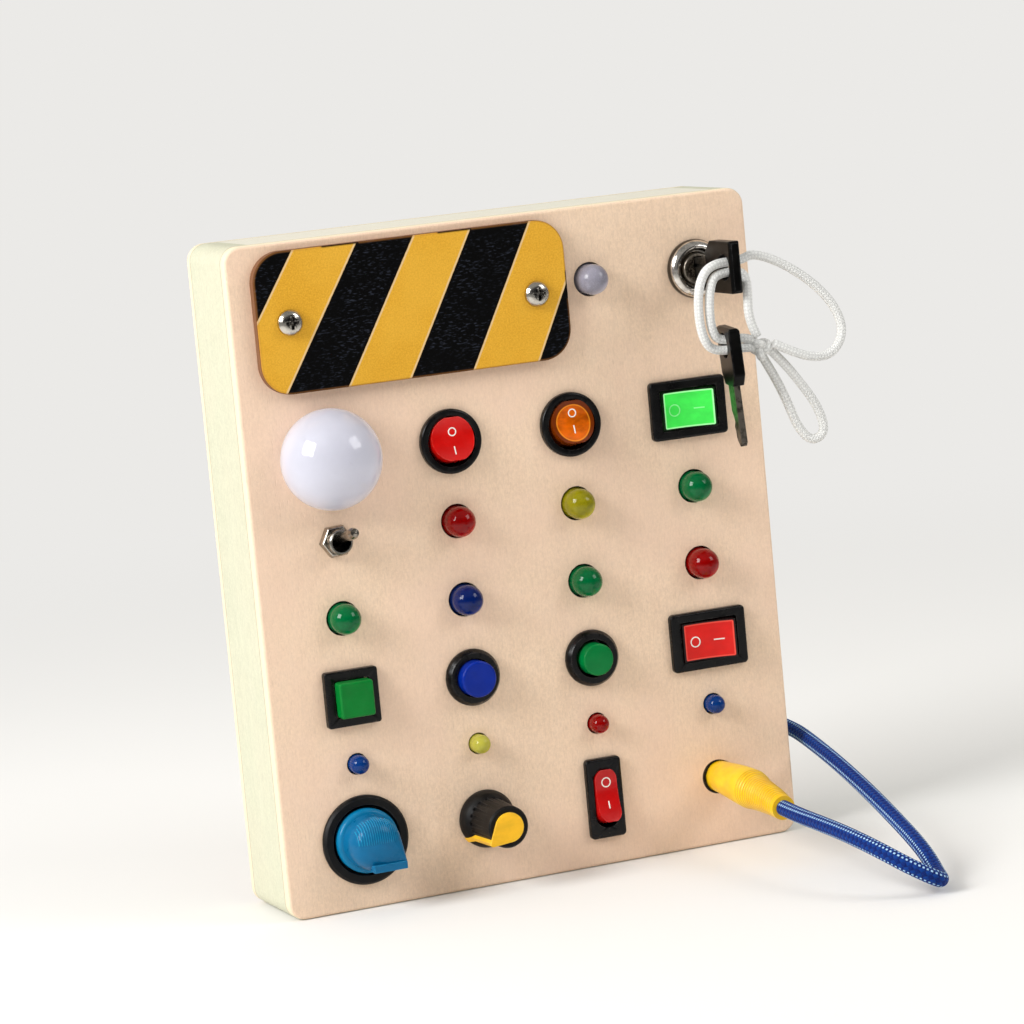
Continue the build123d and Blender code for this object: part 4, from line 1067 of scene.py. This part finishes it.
PIVOT_BELOW = 1.5  # a rocker's pivot lies this far behind the face
VALLEY = 4.2  # height of a cap's hollow over its pivot
HOLLOW = math.radians(10.0)  # a cap's ends rise at this angle from its middle
PRINT_LAYERS = (-0.1, 0.05)  # a mark reaches from just under the cap's face to just over it
RING_WIDTH = 0.3
BAR_HALF = 0.16


def cap_place(rocker, side, distance):
    """Point of a rocker's hollow cap, the ways along, across and out there, and the hollow's radius."""
    _, x, z, upright, reach, tilt = rocker[:6]
    tip = math.radians(tilt)
    if upright:
        along, pin = Vector((0, -math.sin(tip), math.cos(tip))), Vector((1, 0, 0))
    else:
        along, pin = Vector((math.cos(tip), -math.sin(tip), 0)), Vector((0, 0, -1))
    out = pin.cross(along)
    half = reach - 0.3
    rise = half * math.tan(HOLLOW)
    radius = (half * half + rise * rise) / (2 * rise)
    slope = math.asin(distance / radius)
    way = along * math.cos(slope) * side + out * math.sin(slope)
    normal = out * math.cos(slope) - along * math.sin(slope) * side
    height = VALLEY + radius * (1 - math.cos(slope))
    pivot = Vector((x, FRONT + PIVOT_BELOW, z))
    return pivot + out * height + along * side * distance, way, pin, normal, radius


def cap_mark(rocker, side, kind, distance, size):
    """Shape of the ring or the bar printed on one side of a rocker's cap."""
    middle, way, pin, normal, radius = cap_place(rocker, side, distance)
    under, over = PRINT_LAYERS
    if kind == "ring":
        inner = size - RING_WIDTH
        rows = [[(reach * math.cos(angle), reach * math.sin(angle), out) for angle in circle(40)]
                for reach, out in ((size, under), (size, over), (inner, over), (inner, under))]
    else:
        rows = [[(u * size, v * BAR_HALF, out) for u, v in ((-1, -1), (1, -1), (1, 1), (-1, 1))]
                for out in PRINT_LAYERS]
    points = [(middle + way * u + pin * v + normal * (out + u * u / (2 * radius))) * MM
              for row in rows for u, v, out in row]
    return points, skin(len(rows), len(rows[0]), closed=kind == "ring")


def lit_face(row, dark, pale):
    """Lit middle of a wide rocker's cap, for a plastic's frame_of."""
    return COLUMNS[3] - 0.9, row, 6.7, 4.75, 0.4, dark, pale


CAP_SKIN = {"shine": 0.2, "pebbles": 1800.0, "depth": 0.000006, "handling": 0.08}
# node, finish, colour, softening and what the cap has besides, or otherwise than, CAP_SKIN
ROCKER_CAPS = [
    ("round_red_cap", "red_cap", paint(206, 22, 18), 0.35,
     {"coat": 0.2, "rub": paint(240, 104, 90), "clear": 0.05}),
    ("red_rocker_cap", "lit_red_cap", paint(212, 26, 18), 0.35,
     {"shine": 0.22, "coat": 0.1, "frame_of": lit_face(ROWS[2], paint(26, 4, 4), paint(250, 96, 80))}),
    # painted light: a faint glow stands in for light that shines through the amber cap
    ("round_amber_cap", "amber_cap", paint(200, 90, 4), 0.35,
     {"pebbles": 900.0, "depth": 0.00002, "coat": 0.1, "glow": 0.05, "mottle": 4.4, "mirror": 0.15,
      "frame_of": (COLUMNS[2], ROWS[5] + 0.6, 4.8, 4.8, 4.8, paint(104, 44, 6), paint(240, 150, 40))}),
    ("green_rocker_cap", "lit_green_cap", paint(60, 204, 74), 0.35,
     {"coat": 0.1, "glow": 0.38, "frame_of": lit_face(ROWS[5], paint(4, 30, 8), paint(190, 255, 190))}),
    ("narrow_rocker_cap", "narrow_red_cap", paint(184, 20, 20), 0.3,
     {"coat": 0.2, "rub": paint(226, 90, 84)}),
]


class BUSY_OT_rockers(bpy.types.Operator):
    """Rocker switches with their housings, caps, on and off marks and solder tags"""
    bl_idname = "busy_board.rockers"
    bl_label = "Rocker switches"

    def execute(self, context):
        for rocker in ("round_red", "round_amber", "green_rocker", "red_rocker", "narrow_rocker"):
            dress(rocker + "_housing", black_moulding(), 0.12)
        for node, finish, colour, soften, look in ROCKER_CAPS:
            dress(node, plastic(finish, colour, **{**CAP_SKIN, **look}), soften, 3)
        white = plastic("mark_print", paint(238, 236, 228), 0.4, dust=0.0)
        green = plastic("pale_mark_print", paint(126, 228, 136), 0.4, dust=0.0, glow=0.2)
        for rocker in ROCKERS:
            name = rocker[0]
            for side, mark in ((-1, rocker[6]), (1, rocker[7])):
                add_piece(f"{name}_{mark[0]}_mark", cap_mark(rocker, side, *mark),
                          green if name == "green_rocker" else white, name, smooth=False)
        dress("switch_terminals", tinned_leg(), 0.08)
        return {"FINISHED"}


class BUSY_OT_toggle(bpy.types.Operator):
    """Toggle switch with its nut and lever"""
    bl_idname = "busy_board.toggle"
    bl_label = "Toggle switch"

    def execute(self, context):
        dress("toggle_body", metal("toggle_barrel", paint(150, 146, 138), 0.16, TOGGLE, 3000.0, 0.5))
        dress("toggle_nut", nut_plate(), 0.2)
        add_piece("toggle_hex", hex_nut(*TOGGLE, 4.45, 3.25, 2.3, math.radians(4)), nut_plate(), "board",
                  "toggle_nut", smooth=False, soften=0.16)
        dress("toggle_lever", metal("lever_plate", paint(150, 142, 132), 0.12, grime=0.9))
        return {"FINISHED"}


BUTTON_SKIN = {"shine": 0.3, "pebbles": 1800.0, "depth": 0.000008, "handling": 0.1, "coat": 0.2,
               "mirror": 0.06}
# node, finish, colour, rubbed colour and softening
BUTTON_CAPS = [
    ("square_button_cap", "green_square_cap", paint(0, 116, 46), paint(90, 196, 130), 0.5),
    ("blue_button_cap", "blue_round_cap", paint(8, 42, 138), paint(96, 130, 214), 0.4),
    ("green_button_cap", "green_round_cap", paint(0, 114, 56), paint(84, 180, 124), 0.4),
]
# outline of the round green button, as (radius, out)
ROUND_BUTTON = [(3.9, -7.5), (3.9, 0.0), (4.25, 0.0), (4.25, 4.8), (4.1, 5.2), (3.75, 5.4), (0.05, 5.4)]


class BUSY_OT_buttons(bpy.types.Operator):
    """Push buttons with their bodies, caps and nuts"""
    bl_idname = "busy_board.buttons"
    bl_label = "Push buttons"

    def execute(self, context):
        for button in ("square", "blue", "green"):
            dress(button + "_button_body", black_moulding(), 0.2)
        for node, finish, colour, rub, soften in BUTTON_CAPS:
            dress(node, plastic(finish, colour, rub=rub, **BUTTON_SKIN), soften, 3)
        add_piece("green_round_button", turning(COLUMNS[2], ROWS[2], ROUND_BUTTON, 64),
                  FINISHES["green_round_cap"], "green_button", "green_button_cap",
                  soften=0.1)
        dress("panel_nuts", nut_plate(), 0.15)
        return {"FINISHED"}


SELECTOR = (COLUMNS[0], ROWS[0])
KNOB_SKIN = {"pebbles": 1800.0, "depth": 0.00001, "handling": 0.1}
# outlines as (radius, out): the disc and the domed grip that stands on it
DISC = [(2.5, -8.5), (2.5, -1.7), (8.4, -1.7), (8.4, 2.6), (8.1, 3.1), (7.6, 3.4), (0.05, 3.4)]
GRIP_DOME = [(7.2, 3.2), (7.15, 6.0), (6.9, 8.0), (6.3, 9.8), (5.2, 11.0), (3.6, 11.7), (1.8, 12.0)]
RIB_PITCH = 0.6
RIB_HALF = 0.17


def on_selector(points):
    """Points given as (u, v, out) from the selector's middle, as metres."""
    return [spot(SELECTOR[0] + u, SELECTOR[1] + v, out) for u, v, out in points]


def dome_out(radius):
    """How far the selector's domed grip stands out at a distance from its middle."""
    for (outer, low), (inner, high) in zip(GRIP_DOME, GRIP_DOME[1:]):
        if radius >= inner:
            return high + (low - high) * (radius - inner) / (outer - inner)
    return GRIP_DOME[-1][1]


def rib(u):
    """Shape of one raised rib that runs from the grip's middle over its edge."""
    line = [(v, dome_out(math.hypot(u, v)) - 0.05) for v in [0.6 + 0.35 * step for step in range(20)]
            if math.hypot(u, v) < 6.95]
    v, out = line[-1]
    line += [(v, out - 1.6), (v - 0.1, out - 2.8)]
    points = []
    for v, out in line:
        points += [(u - RIB_HALF, v, out - 0.15), (u, v + 0.12, out + 0.16), (u + RIB_HALF, v, out - 0.15)]
    return on_selector(points), skin(len(line), 3)


class BUSY_OT_selector(bpy.types.Operator):
    """Rotary selector with its blue pointer knob"""
    bl_idname = "busy_board.selector"
    bl_label = "Rotary selector"

    def execute(self, context):
        dress("selector_body", plastic("black_satin", paint(12, 12, 14), 0.46, 3400.0, 0.00002, 0.12,
                                       rub=paint(78, 78, 80), mirror=0.2), 0.15)
        polish = {"coat": 0.1, "rub": paint(70, 170, 206), "mirror": 0.15}
        disc = plastic("blue_disc", paint(12, 112, 156), 0.3, **KNOB_SKIN, **polish)
        blue = plastic("clear_blue", paint(8, 98, 142), 0.28, **KNOB_SKIN, **polish)
        # painted light: the flutes are the grip's blue painted paler, for the light that their ridges catch
        pale = plastic("flute_blue", paint(34, 142, 186), 0.3, **KNOB_SKIN, mirror=0.2)
        dome = [(radius * math.cos(angle), radius * math.sin(angle), out)
                for radius, out in GRIP_DOME for angle in circle(64)]
        tip = [(6.9, side, out) for side in (-4.7, -6.9) for out in (3.2, 11.2)]
        tip += [(6.6, side, 11.6) for side in (-4.9, -6.7)]
        ridge = [(u, v, out) for u in (-2.6, 6.7) for v in (-4.7, -6.7) for out in (9.0, 12.3)]
        ribs = joined(rib(-5.4 + RIB_PITCH * step) for step in range(19))
        for name, shape, material, soften in (
                ("selector_disc", turning(*SELECTOR, DISC, 72), disc, 0.0),
                ("selector_grip", hull(on_selector(dome + tip)), blue, 0.25),
                ("selector_ridge", hull(on_selector(ridge)), blue, 0.3),
                ("selector_flutes", ribs, pale, 0.0)):
            add_piece(name, shape, material, "selector", "selector_knob", soften=soften)
        return {"FINISHED"}


class BUSY_OT_volume(bpy.types.Operator):
    """Volume control with its fluted knob and yellow pointer"""
    bl_idname = "busy_board.volume"
    bl_label = "Volume control"

    def execute(self, context):
        dress("volume_body", nut_plate())
        dress("volume_shaft", nut_plate())
        dress("volume_knob", plastic("black_rubber", paint(14, 12, 12), 0.5, 3600.0, 0.00003, 0.12,
                                     rub=paint(84, 80, 78), mirror=0.2), 0.2)
        dress("volume_pointer", plastic("yellow_print", paint(242, 184, 44), 0.34, 1800.0, 0.000008, 0.1,
                                        rub=paint(250, 216, 120), mirror=0.15), 0.12)
        return {"FINISHED"}


class BUSY_OT_lock(bpy.types.Operator):
    """Key lock with its plated ring and turning core"""
    bl_idname = "busy_board.lock"
    bl_label = "Key lock"

    def execute(self, context):
        dress("lock_barrel", metal("lock_ring", paint(222, 216, 208), 0.1, LOCK, 1500.0, 0.5,
                                   rings=[(5.1, 0.6), (7.8, 0.4)]), 0.5, 4, 18.0)
        dress("lock_core", metal("lock_core_metal", paint(196, 184, 168), 0.3, LOCK, 1800.0, 0.9,
                                 hollows=[(*LOCK, 4.6)]), 0.1)
        return {"FINISHED"}


class BUSY_OT_keys(bpy.types.Operator):
    """Two keys with black grips and steel blades"""
    bl_idname = "busy_board.keys"
    bl_label = "Keys"

    def execute(self, context):
        grip = plastic("key_grip", paint(7, 6, 6), 0.3, 3000.0, 0.00002, 0.1, rub=paint(120, 120, 122),
                       mirror=0.1)
        steel = metal("key_steel", paint(112, 106, 98), 0.34, grime=1.0)
        for key in ("key", "spare_key"):
            dress(key + "_head", grip, 0.35, 3)
            dress(key + "_blade", steel, 0.1)
        return {"FINISHED"}


class BUSY_OT_plug(bpy.types.Operator):
    """Yellow plug with its pin, and the socket behind the panel"""
    bl_idname = "busy_board.plug"
    bl_label = "Plug and socket"

    def execute(self, context):
        dress("plug_body", plug_rubber())
        dress("plug_pin", nut_plate())
        dress("socket", black_moulding(), 0.2)
        return {"FINISHED"}


class BUSY_OT_battery(bpy.types.Operator):
    """Battery compartment in the back with its cells, contacts, lid and screw"""
    bl_idname = "busy_board.battery"
    bl_label = "Battery compartment"

    def execute(self, context):
        case = plastic("case_moulding", paint(44, 44, 46), 0.4, 2200.0, 0.00002, 0.14,
                       rub=paint(104, 102, 100))
        jacket = plastic("cell_jacket", paint(62, 62, 66), 0.24, 1200.0, 0.000006, 0.1, coat=0.4,
                         rub=paint(180, 176, 168))
        dress("battery_case", case, 0.15)
        dress("battery_lid", case, 0.3)
        dress("battery_cells", jacket, 0.3)
        dress("battery_contacts", tinned_leg())
        dress("lid_screw", zinc_screw())
        low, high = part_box("lid_screw")
        head = cross_screw((low.x + high.x) / 2 / MM, (low.z + high.z) / 2 / MM, LID_SCREW, 1.5, 0.8)
        add_piece("lid_cross_screw", head, zinc_screw(), "lid", "lid_screw", smooth=False)
        return {"FINISHED"}


class BUSY_PT_panel(bpy.types.Panel):
    """Every step of dressing the busy board"""
    bl_idname = "BUSY_PT_panel"
    bl_label = "Busy board"
    bl_space_type = "VIEW_3D"
    bl_region_type = "UI"
    bl_category = "Busy board"

    def draw(self, context):
        for operator in OPERATORS:
            self.layout.operator(operator.bl_idname)
        for name, group in SETTINGS:
            look = getattr(context.scene, name)
            for key in group.__annotations__:
                self.layout.prop(look, key)


SETTINGS = [
    ("busy_board_stage", BusyBoardStage), ("busy_board_box", BusyBoardBox),
    ("busy_board_plate", BusyBoardPlate), ("busy_board_cords", BusyBoardCords),
]
OPERATORS = [
    BUSY_OT_stage, BUSY_OT_plug_cord, BUSY_OT_key_strings, BUSY_OT_box, BUSY_OT_plate, BUSY_OT_lamps,
    BUSY_OT_dome, BUSY_OT_rockers, BUSY_OT_toggle, BUSY_OT_buttons, BUSY_OT_selector, BUSY_OT_volume,
    BUSY_OT_lock, BUSY_OT_keys, BUSY_OT_plug, BUSY_OT_battery,
]


def register():
    for name, group in SETTINGS:
        bpy.utils.register_class(group)
        setattr(bpy.types.Scene, name, PointerProperty(type=group))
    for operator in OPERATORS:
        bpy.utils.register_class(operator)
    bpy.utils.register_class(BUSY_PT_panel)


def unregister():
    bpy.utils.unregister_class(BUSY_PT_panel)
    for operator in reversed(OPERATORS):
        bpy.utils.unregister_class(operator)
    for name, group in reversed(SETTINGS):
        delattr(bpy.types.Scene, name)
        bpy.utils.unregister_class(group)


def main():
    register()
    for operator in OPERATORS:
        family, name = operator.bl_idname.split(".")
        result = getattr(getattr(bpy.ops, family), name)()
        if result != {"FINISHED"}:
            raise RuntimeError(operator.bl_label + " was not finished")


if __name__ == "__main__":
    main()
